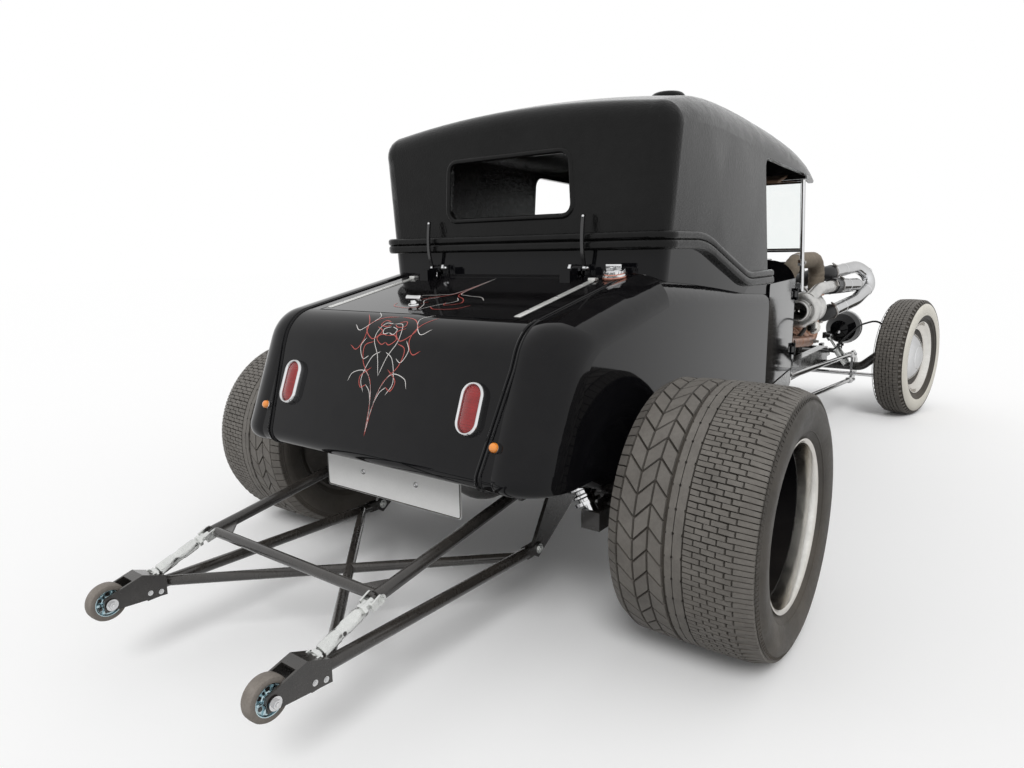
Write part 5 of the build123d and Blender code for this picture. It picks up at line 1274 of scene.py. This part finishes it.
class ROD_OT_engine(bpy.types.Operator):
    """Header flanges, turbocharger detail, heat wrap, hose clamps and the valve cover's fittings"""
    bl_idname = "rod.engine"
    bl_label = "Engine dress"

    def execute(self, context):
        self.headers()
        self.turbo()
        self.wrap()
        self.pipes()
        self.block()
        return {"FINISHED"}

    def headers(self):
        build = Build()
        plate = [(y, z) for z, y in slot_outline(0.04, 0.026, 32)]
        edge = [(x * 0.96, y * 0.94) for x, y in plate]
        for port_y in HEADER_PORTS:
            place = facing(BLOCK_X, port_y, PORT_Z, (1, 0, 0))
            ring_stack(build, [(plate, 0.0), (plate, 0.0085), (edge, 0.0095)], place, 0, True)
            for across in (-0.03, 0.03):
                build.bolt(place @ shift(across, 0, 0.0095), 0.0052, 0.006, 1)
            weld_bead(build, at(0.182, port_y, PORT_Z), (1, 0, 0), HEADER_RADIUS, 0)
            start, end = at(0.275, port_y, PORT_Z), at(COLLECTOR_X, port_y + 0.012, 0.48)
            for share in (0.35, 0.75):
                weld_bead(build, start.lerp(end, share), end - start, HEADER_RADIUS, 0)
        for y in (1.83, 1.93, 2.025, 2.115):
            spot = at(COLLECTOR_X, y, 0.49 - 0.092 * (y - 1.792))
            weld_bead(build, spot, (0, 1, -0.092), COLLECTOR_RADIUS, 0)
        clamp_at(build, at(COLLECTOR_X, COLLECTOR_END_Y, 0.64), (0, 0, 1), COLLECTOR_RADIUS, 1, (1, 0, 0))
        for k in range(4):
            turn = math.pi * (k + 0.5) / 2
            x, y = COLLECTOR_X + 0.034 * math.cos(turn), COLLECTOR_END_Y + 0.034 * math.sin(turn)
            build.bolt(facing(x, y, 0.682, (0, 0, -1)), 0.0042, 0.005, 1)
        build.turned([(0, 10), (12, 10), (13, 7), (26, 6), (28, 0)],
                     facing(0.396, 2.12, 0.46, (1, 0, 0)), 16, 1)
        build.piece("header_dress", "heated_header_steel bare_steel", "chassis", "header_copper")

    def turbo(self):
        x, z = TURBO
        build = Build()
        mouth = facing(x, TURBO_MOUTH_Y, z, (0, -1, 0))
        build.turned([(-34, 37.2), (-4, 37.6), (0, 39.5), (2.2, 42.5), (0, 46.5), (-6, 47)], mouth, 56, 0)
        build.turned([(-30, 37), (-33, 12)], mouth, 40, 2)
        for k in range(12):
            turn = 2 * math.pi * k / 12
            blade = [(r * math.cos(turn + lag), r * math.sin(turn + lag), z_at) for r, lag, z_at in TURBO_BLADE]
            build.add(blade, [(0, 1, 2, 3)], 1, mouth)
        build.turned([(-32, 12), (-16, 10.5), (-10, 7), (-6, 6), (-4, 0)], mouth, 20, 1)
        face = facing(x, TURBO_FACE_Y, z, (0, -1, 0))
        build.turned([(0, 58), (3, 57.5), (3, 51.5), (8, 49), (8, 46)], face, 56, 0)
        build.bolts(on_circle(face, 6, 0.0555, 0.002, 0.5), 0.0036, 0.004, 3)
        for y, radius, width in TURBO_BANDS:
            place = facing(x, y, z, (0, 1, 0), (0.5, 0, 1))
            ring_at(build, place, radius - 0.02, width, 0.02, 1, 56)
            build.box((0.01, 0.02, 0.014), place @ shift(0, radius + 0.004, 0), 0.002, 3)
            screw = place @ shift(0, radius + 0.008, 0) @ turn_about("Y", math.pi / 2)
            build.turned([(-14, 0), (-14, 3), (16, 3), (16, 0)], screw, 10, 3)
        for rib in round_circle(facing(x, TURBO_MIDDLE_Y, z, (0, 1, 0)), 8, 0.044, 0):
            build.box((0.006, 0.006, 0.056), rib, 0.0015, 0)
        clamp_at(build, at(0.448, 2.185, 0.728), (0, 1, 0), 0.027, 3, (1, 0, 0.4))
        can = facing(0.452, 1.88, 0.555, (0.1, 1, -0.15))
        build.turned([(-26, 0), (-26, 16), (-22, 26), (-4, 28.5), (-2, 31), (2, 31), (4, 28.5), (20, 24),
                      (24, 12), (24, 0)], can, 40, 1)
        rod_end = at(0.448, 2.03, 0.566)
        build.tube([can @ Vector((0, 0, 0.024)), rod_end], 0.003, 10, 3)
        build.box((0.014, 0.01, 0.02), axis_place(rod_end, (0, 1, 0)), 0.003, 3)
        oil = smooth_curve([at(x, 1.968, z + 0.042), at(x - 0.004, 1.968, z + 0.085),
                            at(x - 0.06, 1.972, z + 0.118), at(x - 0.15, 1.99, z + 0.098),
                            at(0.152, 2.01, 0.7)], 28)
        build.tube(oil, 0.0058, 12, 3)
        for end, direction in ((oil[0], (0, 0, 1)), (oil[-1], (-1, 0, 0))):
            build.prism(hexagon(0.0092), -0.004, 0.01, axis_place(end, direction), 4)
        drain = smooth_curve([at(x, 1.968, z - 0.042), at(x - 0.01, 1.962, z - 0.11),
                              at(x - 0.1, 1.95, z - 0.205), at(0.171, 1.945, 0.4)], 24)
        build.tube(drain, 0.0095, 12, 2)
        build.piece("turbo_dress", "cast_turbo_alloy polished_alloy dark_steel bare_steel blue_zinc", "chassis",
                    "turbo_silver")

    def wrap(self):
        build = Build()
        line = resampled(rounded([at(*p) for p in WRAP_ROUTE], WRAP_BENDS, 12), 0.0055)
        radii = [WRAP_RADIUS + 0.0004 + 0.002 * (i % 5) / 4 for i in range(len(line))]
        build.tube([p for p, _ in line], radii, 32, 0, False)
        for i in (4, len(line) // 2, len(line) - 5):
            point, along = line[i]
            ring_at(build, axis_place(point, along), WRAP_RADIUS + 0.0018, 0.008, 0.0012, 1)
            buckle = axis_place(point, along, (1, 0, 0)) @ shift(0, WRAP_RADIUS + 0.005, 0)
            build.box((0.012, 0.006, 0.012), buckle, 0.001, 1)
        build.piece("wrap_dress", "glass_heat_wrap bare_steel", "chassis", "wrap", 60)

    def pipes(self):
        build = Build()
        for end, inner in ((CHARGE_FIRST[0], CHARGE_FIRST[1]), (CHARGE_FIRST[-1], CHARGE_FIRST[-2]),
                           (CHARGE_SECOND[0], CHARGE_SECOND[1])):
            end, inner = at(*end), at(*inner)
            inward = (inner - end).normalized()
            clamp_at(build, end + inward * 0.018, inward, HOSE_RADIUS, 0, (0.6, 0, 1))
            weld_bead(build, end + inward * 0.045, inward, CHARGE_RADIUS, 1)
        for line in (CHARGE_FIRST, CHARGE_SECOND):
            for a, b in zip(line, line[1:]):
                a, b = at(*a), at(*b)
                weld_bead(build, a.lerp(b, 0.5), b - a, CHARGE_RADIUS, 1)
        for point, along in ((at(0.205, 2.325, 0.7), (1, 0.03, 0.2)), (at(0.195, 2.3, 0.562), (1, 0, 0.03))):
            clamp_at(build, point, along, HOSE_RADIUS, 0, (0, -0.4, 1))
        build.piece("pipe_dress", "bare_steel show_chrome", "chassis", "chrome")

    def block(self):
        build = Build()
        for k in range(7):
            build.box((0.005, 0.5, 0.006), standing(-0.045 + 0.02 * k, 2.115, 0.7925), 0.0015, 0)
        for y in (1.86, 2.03, 2.2, 2.37):
            for x in (-0.06, 0.09):
                build.bolt(facing(x, y, 0.7805, (0, 0, 1)), 0.005, 0.01, 1)
        build.turned([(0, 26), (10, 26), (12, 30), (24, 29), (27, 24), (27, 0)],
                     facing(*OIL_CAP_AT, (0, 0, 1)), 32, 2)
        build.turned([(0, 18), (20, 18), (22, 42), (60, 44), (66, 36), (68, 0)],
                     facing(*BREATHER_AT, (0, 0, 1)), 40, 3)
        pitch = Vector((0, CYLINDER_PITCH, 0))
        for k in range(4):
            plug = axis_place(at(*SPARK_PLUG_AT) + pitch * k, (1, 0, 0.35))
            build.turned([(0, 13), (30, 13), (34, 9), (46, 8), (48, 0)], plug, 20, 3)
        for k in range(5):
            cover = axis_place(at(*CORE_PLUG_AT) + pitch * k, (1, 0, 0))
            build.turned([(0, 21), (2, 21), (3, 17), (0.6, 14), (0.6, 0)], cover, 28, 1)
        build.turned([(0, 30), (12, 42), (20, 44), (85, 44), (94, 38), (96, 0)],
                     facing(*OIL_FILTER_AT, (1, 0, -0.15)), 40, 3)
        for k in range(3):
            groove = facing(0, PULLEY_Y + 0.01 * k, CRANK_Z, (0, 1, 0))
            ring_at(build, groove, PULLEY_RADIUS, 0.006, 0.0035, 1, 64)
        build.turned([(0, 28), (10, 28), (10, 12), (20, 11), (20, 0)],
                     facing(0, PULLEY_Y + 0.0305, CRANK_Z, (0, 1, 0)), 32, 1)
        for y in (1.84, 1.94, 2.04, 2.14, 2.24, 2.34):
            build.bolt(facing(0.1403, y, 0.29, (1, 0, 0)), 0.0045, 0.0045, 1)
        build.piece("engine_dress", "satin_alloy bare_steel show_chrome gloss_black_paint", "chassis",
                    "turbo_silver")


# Front end


LAMP_AT = (0.37, 2.875, 0.455)
LAMP_RADIUS = 0.08
# The ends of the radius rods at the axle and at the frame: (x, y), and each rod's height at both
ROD_FRONT = (0.455, 2.79)
ROD_REAR = (0.372, 1.64)
ROD_HEIGHTS = [(0.318, 0.332), (0.172, 0.198)]
# The holes in the brackets on the axle: their y, z and radius
BRACKET_HOLES = [(2.818, 0.282, 0.011), (2.818, 0.202, 0.011), (2.8875, 0.246, 0.006)]
SHOCK_LOW = (0.42, 2.828, 0.246)
SHOCK_TOP = (0.318, 2.77, 0.418)
RADIATOR_CAP_AT = (0, 2.6, 0.8395)
LENS_DEPTH = 0.0115


class ROD_OT_front(bpy.types.Operator):
    """Headlight rims and lenses, rod ends, shock absorbers, bracket holes and the radiator cap"""
    bl_idname = "rod.front"
    bl_label = "Front end"

    def execute(self, context):
        self.lamps()
        self.axle()
        for side in ("left", "right"):
            self.brake(side)
        return {"FINISHED"}

    def lamps(self):
        build = Build()
        lamp_x, lamp_y, lamp_z = LAMP_AT
        for side in (1, -1):
            x = side * lamp_x
            place = facing(x, lamp_y, lamp_z, (0, 1, 0))
            build.turned([(47.5, 95.2), (49, 97.5), (56, 98.5), (64, 95.5), (67, 90), (66, 86), (62, 85)],
                         place, 72, 0)
            build.turned([(63, 86), (67, 78), (72, 60), (75.5, 38), (77, 18), (77.5, 0)], place, 64, 1)
            for k in range(-5, 6):
                u = k * 0.013
                reach = math.sqrt(LAMP_RADIUS ** 2 - u * u)
                bow = []
                for v in (-reach, -reach * 0.5, 0, reach * 0.5, reach):
                    bow.append(place @ Vector((u, v, 0.0775 - LENS_DEPTH * (u * u + v * v) / LAMP_RADIUS ** 2)))
                build.tube(bow, 0.0012, 6, 1)
            build.box((0.01, 0.016, 0.012), place @ shift(0, -0.1, 0.056), 0.002, 0)
            build.bolt(facing(x, 2.855, 0.306, (0, 0, -1)), 0.009, 0.008, 0)
            build.turned([(0, 20), (8, 20), (12, 14), (12, 12)], facing(x, 2.855, 0.352, (0, 0, 1)), 24, 0)
            build.turned([(0, 10), (6, 10), (8, 6), (8, 0)], facing(x, 2.79, 0.44, (0, -1, -0.3)), 16, 0)
        build.piece("headlight_dress", "show_chrome headlight_lens", "chassis", "chrome")

    def axle(self):
        build = Build()
        for side in (1, -1):
            for z, frame_z in ROD_HEIGHTS:
                front = at(side * ROD_FRONT[0], ROD_FRONT[1], z)
                rear = at(side * ROD_REAR[0], ROD_REAR[1], frame_z)
                run = (rear - front).normalized()
                for reach, radius, long in ((0.03, 0.0165, 0.034), (0.058, 0.0175, 0.01)):
                    build.prism(hexagon(radius), 0, long, axis_place(front + run * reach, run), 0)
                build.prism(hexagon(0.0165), 0, 0.012, axis_place(rear - run * 0.06, run), 0)
                for out in (1, -1):
                    build.bolt(beside(front, out, 0.012), 0.0085, 0.007, 0)
                    build.bolt(beside(rear, out, 0.0125), 0.0085, 0.006, 0)
            for y, z, radius in BRACKET_HOLES:
                for out in (1, -1):
                    spot = facing(side * ROD_FRONT[0] + out * 0.0061, y, z, (out, 0, 0))
                    build.lathe([(0, radius + 0.0022), (0.001, radius + 0.0014), (0.001, radius),
                                 (0.0002, radius - 0.001), (0.0002, 0)], spot, 24, 1)
            low, top = (at(side * x, y, z) for x, y, z in (SHOCK_LOW, SHOCK_TOP))
            run = (top - low).normalized()
            length = (top - low).length
            body = [(0.012, 0.01), (0.014, 0.02), (0.022, 0.0225), (length * 0.55, 0.0225),
                    (length * 0.56, 0.018), (length * 0.56, 0.0065), (length * 0.86, 0.0065),
                    (length * 0.86, 0.015), (length - 0.01, 0.015), (length - 0.008, 0.008)]
            build.lathe(body, axis_place(low, run), 32, 2)
            for point in (low, top):
                build.turned([(-14, 0), (-14, 13), (14, 13), (14, 0)], axis_place(point, (1, 0, 0)), 24, 1)
                for out in (1, -1):
                    build.bolt(beside(point, out, 0.0142), 0.007, 0.006, 0)
            build.box((0.05, 0.016, 0.03), standing(side * 0.44, 2.828, 0.246), 0.003, 1)
            build.box((0.016, 0.03, 0.034), standing(side * 0.3, 2.77, 0.418), 0.003, 1)
            for x in (0.25, 0.13):
                build.box((0.022, 0.05, 0.04), standing(side * x, 2.932, 0.338 - 0.1 * x * x), 0.004, 1)
        build.turned([(0, 20), (8, 20), (10, 28), (14, 29), (18, 26), (20, 10), (20, 0)],
                     facing(*RADIATOR_CAP_AT, (0, 0, 1)), 32, 0)
        build.box((0.062, 0.012, 0.006), standing(0, 2.6, 0.853), 0.002, 0)
        build.piece("front_dress", "show_chrome frame_black_paint bright_zinc", "chassis", "chrome")

    def brake(self, side):
        """The drum with its cooling fins, turning with the wheel behind the rim."""
        build = Build()
        place = wheel_place(side, "front")
        profile = [(-0.0545, 0.06), (-0.0545, 0.112)]
        for k in range(5):
            along = -0.054 + 0.008 * k
            profile += [(along, 0.113), (along + 0.0035, 0.113), (along + 0.0035, 0.108),
                        (along + 0.0075, 0.108)]
        profile += [(-0.0135, 0.113), (-0.01, 0.108), (-0.008, 0.06)]
        build.lathe(profile, place, 72, 0)
        build.piece(f"front_drum_{side}", "dark_steel", f"front_wheel_{side}", "engine_metal", 30)


# Cabin


LINER_HALF = 0.385
LINER_REAR_Y = 0.385
LINER_LENGTH = 1.085
LINER_PROBE_Z = 1.205


def probe(shape, top, start, along):
    """Where a ray from the start meets the hard top, or None."""
    spot = shape.ray_cast(top.matrix_world.inverted() @ start, Vector(along))[0]
    return spot and top.matrix_world @ spot


def build_headliner():
    """Brown cloth under the roof, with seams across it."""
    build = Build()
    top = NODES["hard_top"]
    shape = BVHTree.FromObject(top, bpy.context.evaluated_depsgraph_get())
    rows = []
    for i in range(45):
        drop = 0.006 + 0.003 * abs(math.sin(math.pi * i / 11))
        y = LINER_REAR_Y + LINER_LENGTH * i / 44
        starts = [at(LINER_HALF * (k / 16 - 1), y, LINER_PROBE_Z) for k in range(33)]
        row = [probe(shape, top, start, (0, 0, 1)) for start in starts]
        if None not in row:
            rows.append([p - Vector((0, 0, drop)) for p in row])
    if len(rows) < 10:
        raise RuntimeError("the roof was not found above the cabin")
    build.sheet(rows, 0, 0.003)
    for row in rows[::11]:
        build.tube([p - Vector((0, 0, 0.002)) for p in row], 0.003, 8, 0)
    build.piece("headliner", "brown_headliner", "chassis", "trim_vinyl", 60)


def padded_block(name, low, high, inset):
    """A rounded block, let in from the space it is to fill, in a fine even mesh."""
    low, high = Vector(low), Vector(high)
    shape = bmesh.new()
    bmesh.ops.create_cube(shape, size=1)
    bmesh.ops.scale(shape, vec=(high - low) - Vector((inset, inset, inset)) * 2, verts=shape.verts)
    bmesh.ops.bevel(shape, geom=list(shape.edges), offset=0.03, segments=4, affect="EDGES", profile=0.6)
    bmesh.ops.translate(shape, vec=(low + high) / 2, verts=shape.verts)
    mesh = bpy.data.meshes.new(name)
    shape.to_mesh(mesh)
    shape.free()
    obj = bpy.data.objects.new(name, mesh)
    bpy.context.scene.collection.objects.link(obj)
    remesh = obj.modifiers.new("even", "REMESH")
    remesh.mode = "VOXEL"
    remesh.voxel_size = SEAT_VOXEL
    bake(obj)
    return obj


def bake(obj):
    """Keeps what the object's modifiers make of it, and takes them off."""
    depsgraph = bpy.context.evaluated_depsgraph_get()
    mesh = bpy.data.meshes.new_from_object(obj.evaluated_get(depsgraph))
    old = obj.data
    obj.modifiers.clear()
    obj.data = mesh
    bpy.data.meshes.remove(old)


def swell(obj, cap):
    """Blows the block up as cloth; no point moves further than the cap."""
    scene = bpy.context.scene
    before = [v.co.copy() for v in obj.data.vertices]
    cloth = obj.modifiers.new("swell", "CLOTH")
    cloth.settings.use_pressure = True
    cloth.settings.uniform_pressure_force = 4
    cloth.settings.effector_weights.gravity = 0
    cloth.point_cache.frame_start = 1
    cloth.point_cache.frame_end = SEAT_FRAMES
    for moment in range(1, SEAT_FRAMES + 1):
        scene.frame_set(moment)
    bake(obj)
    for vertex, start in zip(obj.data.vertices, before):
        move = vertex.co - start
        if move.length > cap:
            vertex.co = start + move * (cap / move.length)
    scene.frame_set(1)


def sew(obj, lines, depth, faces_to):
    """Presses sewn channels, at the lines across the car, into the side of a pad that faces the given way."""
    faces_to = Vector(faces_to)
    for vertex in obj.data.vertices:
        share = max(0.0, vertex.normal.dot(faces_to))
        gap = min(abs(vertex.co.x - line) for line in lines)
        vertex.co -= vertex.normal * depth * share * math.exp(-(gap / 0.011) ** 2)


SEAT_VOXEL = 0.011
SEAT_FRAMES = 16
SEAT_CAP = 0.024
SEAM_DEPTH = 0.011
SEAT_CHANNELS = [-0.3575, -0.2475, -0.1375, -0.0275, 0.0825, 0.1925, 0.3025]
# Each pad: its name, the corners of its space and the way it faces
SEAT_PADS = [
    ("seat_cushion", at(-0.44, 0.485, 0.366), at(0.44, 0.96, 0.52), (0, 0, 1)),
    ("seat_back", at(-0.44, 0.338, 0.4), at(0.44, 0.478, 0.9), (0, 1, 0)),
]


def build_seat():
    for name, low, high, faces_to in SEAT_PADS:
        pad = padded_block(name, low, high, 0.01)
        swell(pad, SEAT_CAP)
        sew(pad, SEAT_CHANNELS, SEAM_DEPTH, faces_to)
        smooth = pad.modifiers.new("smooth", "SUBSURF")
        smooth.levels = 1
        bake(pad)
        for vertex in pad.data.vertices:
            for axis in range(3):
                vertex.co[axis] = min(high[axis], max(low[axis], vertex.co[axis]))
        pad.data.polygons.foreach_set("use_smooth", [True] * len(pad.data.polygons))
        pad.data.materials.append(finish("brown_seat_vinyl"))
        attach(pad, "chassis")
        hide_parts("seat")


# The rear window's corners as (x, z)
WINDOW_CORNERS = [(0.23, 1.016), (0.219, 1.193), (-0.219, 1.193), (-0.23, 1.016)]
WINDOW_ROUND = 0.034
DASH_Y = 1.5065
STEERING_AT = (-0.24, 1.215, 0.8)
STEERING_RADIUS = 0.18
KNOBS_X = (0.225, 0.26, 0.295)
MIRROR_AT = (0.0, 1.545, 1.15)
VISOR_X = 0.21
# Each gauge: its x and radius
GAUGES = [(-0.335, 0.03), (-0.24, 0.048), (-0.145, 0.03), (0.06, 0.03), (0.15, 0.03)]


def build_window_bead():
    """The raised frame pressed round the rear window, laid on the back of the top."""
    top = NODES["hard_top"]
    shape = BVHTree.FromObject(top, bpy.context.evaluated_depsgraph_get())
    start = [(0, 1.016)] + WINDOW_CORNERS + [(0, 1.016)]
    line = resampled(rounded([(x, z, 0) for x, z in start], [WINDOW_ROUND] * 4, 8), 0.008)
    ring = []
    for point, _ in line:
        spot = probe(shape, top, at(point.x, -0.6, point.y), (0, 1, 0))
        if spot is None:
            raise RuntimeError("the back of the top was not found beside the rear window")
        ring.append(spot + Vector((0, 0.0035, 0)))
    build = Build()
    build.tube(ring + ring[:2], 0.0085, 12, 0, False)
    build.piece("rear_window_bead", "pebbled_black_top", "chassis", "top_black", 60)


class ROD_OT_cabin(bpy.types.Operator):
    """Headliner, rear window frame, seat cushions, steering wheel rim, gauges, mirror and sun visors"""
    bl_idname = "rod.cabin"
    bl_label = "Cabin"

    def execute(self, context):
        build_headliner()
        build_window_bead()
        build_seat()
        self.wheel()
        self.dash()
        return {"FINISHED"}

    def wheel(self):
        build = Build()
        place = facing(*STEERING_AT, (0, 1, -0.45))
        ring = [spot.to_translation() for spot in on_circle(place, 72, STEERING_RADIUS, 0)]
        build.tube(ring + ring[:2], [0.0122 + 0.0006 * (k % 2) for k in range(74)], 14, 0, False)
        build.turned([(-30, 0), (-30, 22), (-26, 30), (-12, 36), (4, 40), (6, 20)], place, 40, 1)
        build.bolts(on_circle(place @ turn_about("X", math.pi), 6, 0.03, 0.012), 0.003, 0.003, 1)
        build.piece("steering_wheel_grip", "brown_seat_vinyl show_chrome", "chassis", "trim_vinyl")

    def dash(self):
        build = Build()
        for k, (x, radius) in enumerate(GAUGES):
            place = facing(x, DASH_Y, 0.792, (0, -1, 0))
            build.lathe([(0, radius + 0.006), (0.006, radius + 0.005), (0.009, radius + 0.001),
                         (0.007, radius - 0.003), (0.003, radius - 0.004)], place, 40, 0)
            build.lathe([(0.003, radius - 0.003), (0.003, 0)], place, 40, 1)
            for n in range(11):
                mark = place @ turn_about("Z", math.radians(-130 + 26 * n)) @ shift(0, radius - 0.01, 0.0034)
                build.box((0.0014, 0.006, 0.0006), mark, 0, 2)
            needle = place @ turn_about("Z", math.radians(60 - 22 * k)) @ shift(0, radius * 0.3, 0.0044)
            build.box((0.0016, radius * 0.8, 0.001), needle, 0, 3)
        for x in KNOBS_X:
            build.turned([(0, 9), (4, 9), (5, 4), (20, 3.5), (22, 0)],
                         facing(x, DASH_Y, 0.77, (0, -1, 0)), 16, 0)
        mirror = facing(*MIRROR_AT, (0.05, -1, -0.05))
        build.turned([(0, 0), (0, 30), (2, 32), (10, 30), (14, 0)],
                     mirror @ Matrix.Diagonal((2.6, 1, 1, 1)), 48, 0)
        build.tube(smooth_curve([at(0.0, 1.548, 1.15), at(0.0, 1.56, 1.17), at(0.0, 1.572, 1.184)], 8),
                   0.0045, 10, 0)
        for x in (-VISOR_X, VISOR_X):
            build.box((0.36, 0.12, 0.012), facing(x, 1.5, 1.196, (0, -0.25, 1)), 0.005, 4, 3)
        build.piece("dash_and_mirror", "show_chrome frame_black_paint plate_white stripe_red brown_seat_vinyl",
                    "chassis", "chrome")


class ROD_OT_paint(bpy.types.Operator):
    """Gives every solid of the car its own finish"""
    bl_idname = "rod.paint"
    bl_label = "Paint the solids"

    def execute(self, context):
        finish_of = {node: name for name, nodes in NODES_BY_FINISH.items() for node in nodes.split()}
        for node, obj in NODES.items():
            for place in obj.material_slots:
                place.material = finish(finish_of[node])
        return {"FINISHED"}


# Stage


CAMERA_AT = (1.282, -1.561, 0.922)
CAMERA_YAW = 36.852
CAMERA_PITCH = 10.646
CAMERA_ROLL = -0.938
CAMERA_FOCAL_PIXELS = 704.986
PICTURE_WIDTH = 1024
SENSOR_WIDTH = 36
FLOOR_REACH = 30
FLOOR_BOUNCE = 0.32
SKY_LIGHT = 0.7
SUN_STRENGTH = 1.3
SUN_FROM = (1.5, -2.5, 3.0)
SUN_SOFTNESS = 25


class ROD_OT_stage(bpy.types.Operator):
    """A pale floor, soft light and the camera"""
    bl_idname = "rod.stage"
    bl_label = "Stage"

    def execute(self, context):
        scene = context.scene
        scene.view_settings.view_transform = "Standard"
        make_floor(scene)
        make_world(scene)
        make_lamps(scene)
        make_camera(scene)
        return {"FINISHED"}


def ray_mix(tree, lit, shown):
    """Shown to the camera, in reflections and through glass; lit for everything else."""
    path = add_node(tree, "LightPath").outputs
    seen = math_node(tree, "ADD", path["Is Camera Ray"], path["Is Glossy Ray"])
    seen = math_node(tree, "ADD", seen, path["Is Transmission Ray"], clamp=True)
    mix = add_node(tree, "MixShader")
    for value, socket in zip((seen, lit, shown), mix.inputs):
        put(tree, value, socket)
    return mix.outputs[0]


def make_floor(scene):
    mesh = bpy.data.meshes.new("studio_floor")
    corners = [(FLOOR_REACH * a, FLOOR_REACH * b, 0) for a, b in ((-1, -1), (1, -1), (1, 1), (-1, 1))]
    mesh.from_pydata(corners, [], [(0, 1, 2, 3)])
    floor = bpy.data.objects.new("studio_floor", mesh)
    scene.collection.objects.link(floor)
    material = bpy.data.materials.new("studio_floor")
    material.use_nodes = True
    tree = material.node_tree
    tree.nodes.remove(tree.nodes["Principled BSDF"])
    colours = ((FLOOR_BOUNCE,) * 3, scene.rod_colours.floor_colour)
    shades = [add_node(tree, "BsdfDiffuse", in_Color=(*colour, 1)).outputs[0] for colour in colours]
    put(tree, ray_mix(tree, *shades), tree.nodes["Material Output"].inputs[0])
    mesh.materials.append(material)


def make_world(scene):
    world = bpy.data.worlds.new("studio")
    scene.world = world
    world.use_nodes = True
    tree = world.node_tree
    tree.nodes.clear()
    white = (1, 1, 1, 1)
    lit = add_node(tree, "Background", in_Color=white, in_Strength=SKY_LIGHT).outputs[0]
    shown = add_node(tree, "Background", in_Color=white, in_Strength=1.0).outputs[0]
    out = add_node(tree, "OutputWorld")
    put(tree, ray_mix(tree, lit, shown), out.inputs[0])


def make_lamps(scene):
    sun = bpy.data.lights.new("sun", "SUN")
    sun.energy = SUN_STRENGTH
    sun.angle = math.radians(SUN_SOFTNESS)
    obj = bpy.data.objects.new("sun", sun)
    scene.collection.objects.link(obj)
    obj.visible_glossy = False
    obj.location = SUN_FROM
    obj.rotation_euler = (-Vector(SUN_FROM)).to_track_quat("-Z", "Y").to_euler()


def make_camera(scene):
    data = bpy.data.cameras.new("camera")
    data.sensor_width = SENSOR_WIDTH
    data.lens = CAMERA_FOCAL_PIXELS / PICTURE_WIDTH * SENSOR_WIDTH
    data.clip_end = 200
    yaw, pitch, roll = (math.radians(v) for v in (CAMERA_YAW, CAMERA_PITCH, CAMERA_ROLL))
    ahead = Vector((-math.sin(yaw) * math.cos(pitch), math.cos(yaw) * math.cos(pitch), -math.sin(pitch)))
    right = Vector((math.cos(yaw), math.sin(yaw), 0))
    up = right.cross(ahead)
    tilted_right = right * math.cos(roll) + up * math.sin(roll)
    tilted_up = up * math.cos(roll) - right * math.sin(roll)
    place = Matrix((tilted_right, tilted_up, -ahead)).transposed().to_4x4()
    place.translation = at(*CAMERA_AT)
    camera = bpy.data.objects.new("camera", data)
    camera.matrix_world = place
    scene.collection.objects.link(camera)
    scene.camera = camera


# Panel and running


OPERATORS = [ROD_OT_paint, ROD_OT_tyres, ROD_OT_wheels, ROD_OT_deck, ROD_OT_lamps, ROD_OT_wheelie,
             ROD_OT_engine, ROD_OT_front, ROD_OT_cabin, ROD_OT_stage]


class ROD_PT_panel(bpy.types.Panel):
    """The car's pieces and settings"""
    bl_label = "Street Rod"
    bl_idname = "ROD_PT_panel"
    bl_space_type = "VIEW_3D"
    bl_region_type = "UI"
    bl_category = "Street Rod"

    def draw(self, context):
        layout = self.layout
        for settings in (context.scene.rod_sizes, context.scene.rod_colours):
            for key in settings.__annotations__:
                layout.prop(settings, key)
        for operator in OPERATORS:
            layout.operator(operator.bl_idname)


CLASSES = [RodSizes, RodColours, *OPERATORS, ROD_PT_panel]


def register():
    for item in CLASSES:
        bpy.utils.register_class(item)
    bpy.types.Scene.rod_sizes = bpy.props.PointerProperty(type=RodSizes)
    bpy.types.Scene.rod_colours = bpy.props.PointerProperty(type=RodColours)


def unregister():
    del bpy.types.Scene.rod_sizes
    del bpy.types.Scene.rod_colours
    for item in reversed(CLASSES):
        bpy.utils.unregister_class(item)


def main():
    register()
    for operator in OPERATORS:
        group, name = operator.bl_idname.split(".")
        result = getattr(getattr(bpy.ops, group), name)()
        if "FINISHED" not in result:
            raise RuntimeError(f"{operator.bl_label} did not finish")


if __name__ == "__main__":
    main()
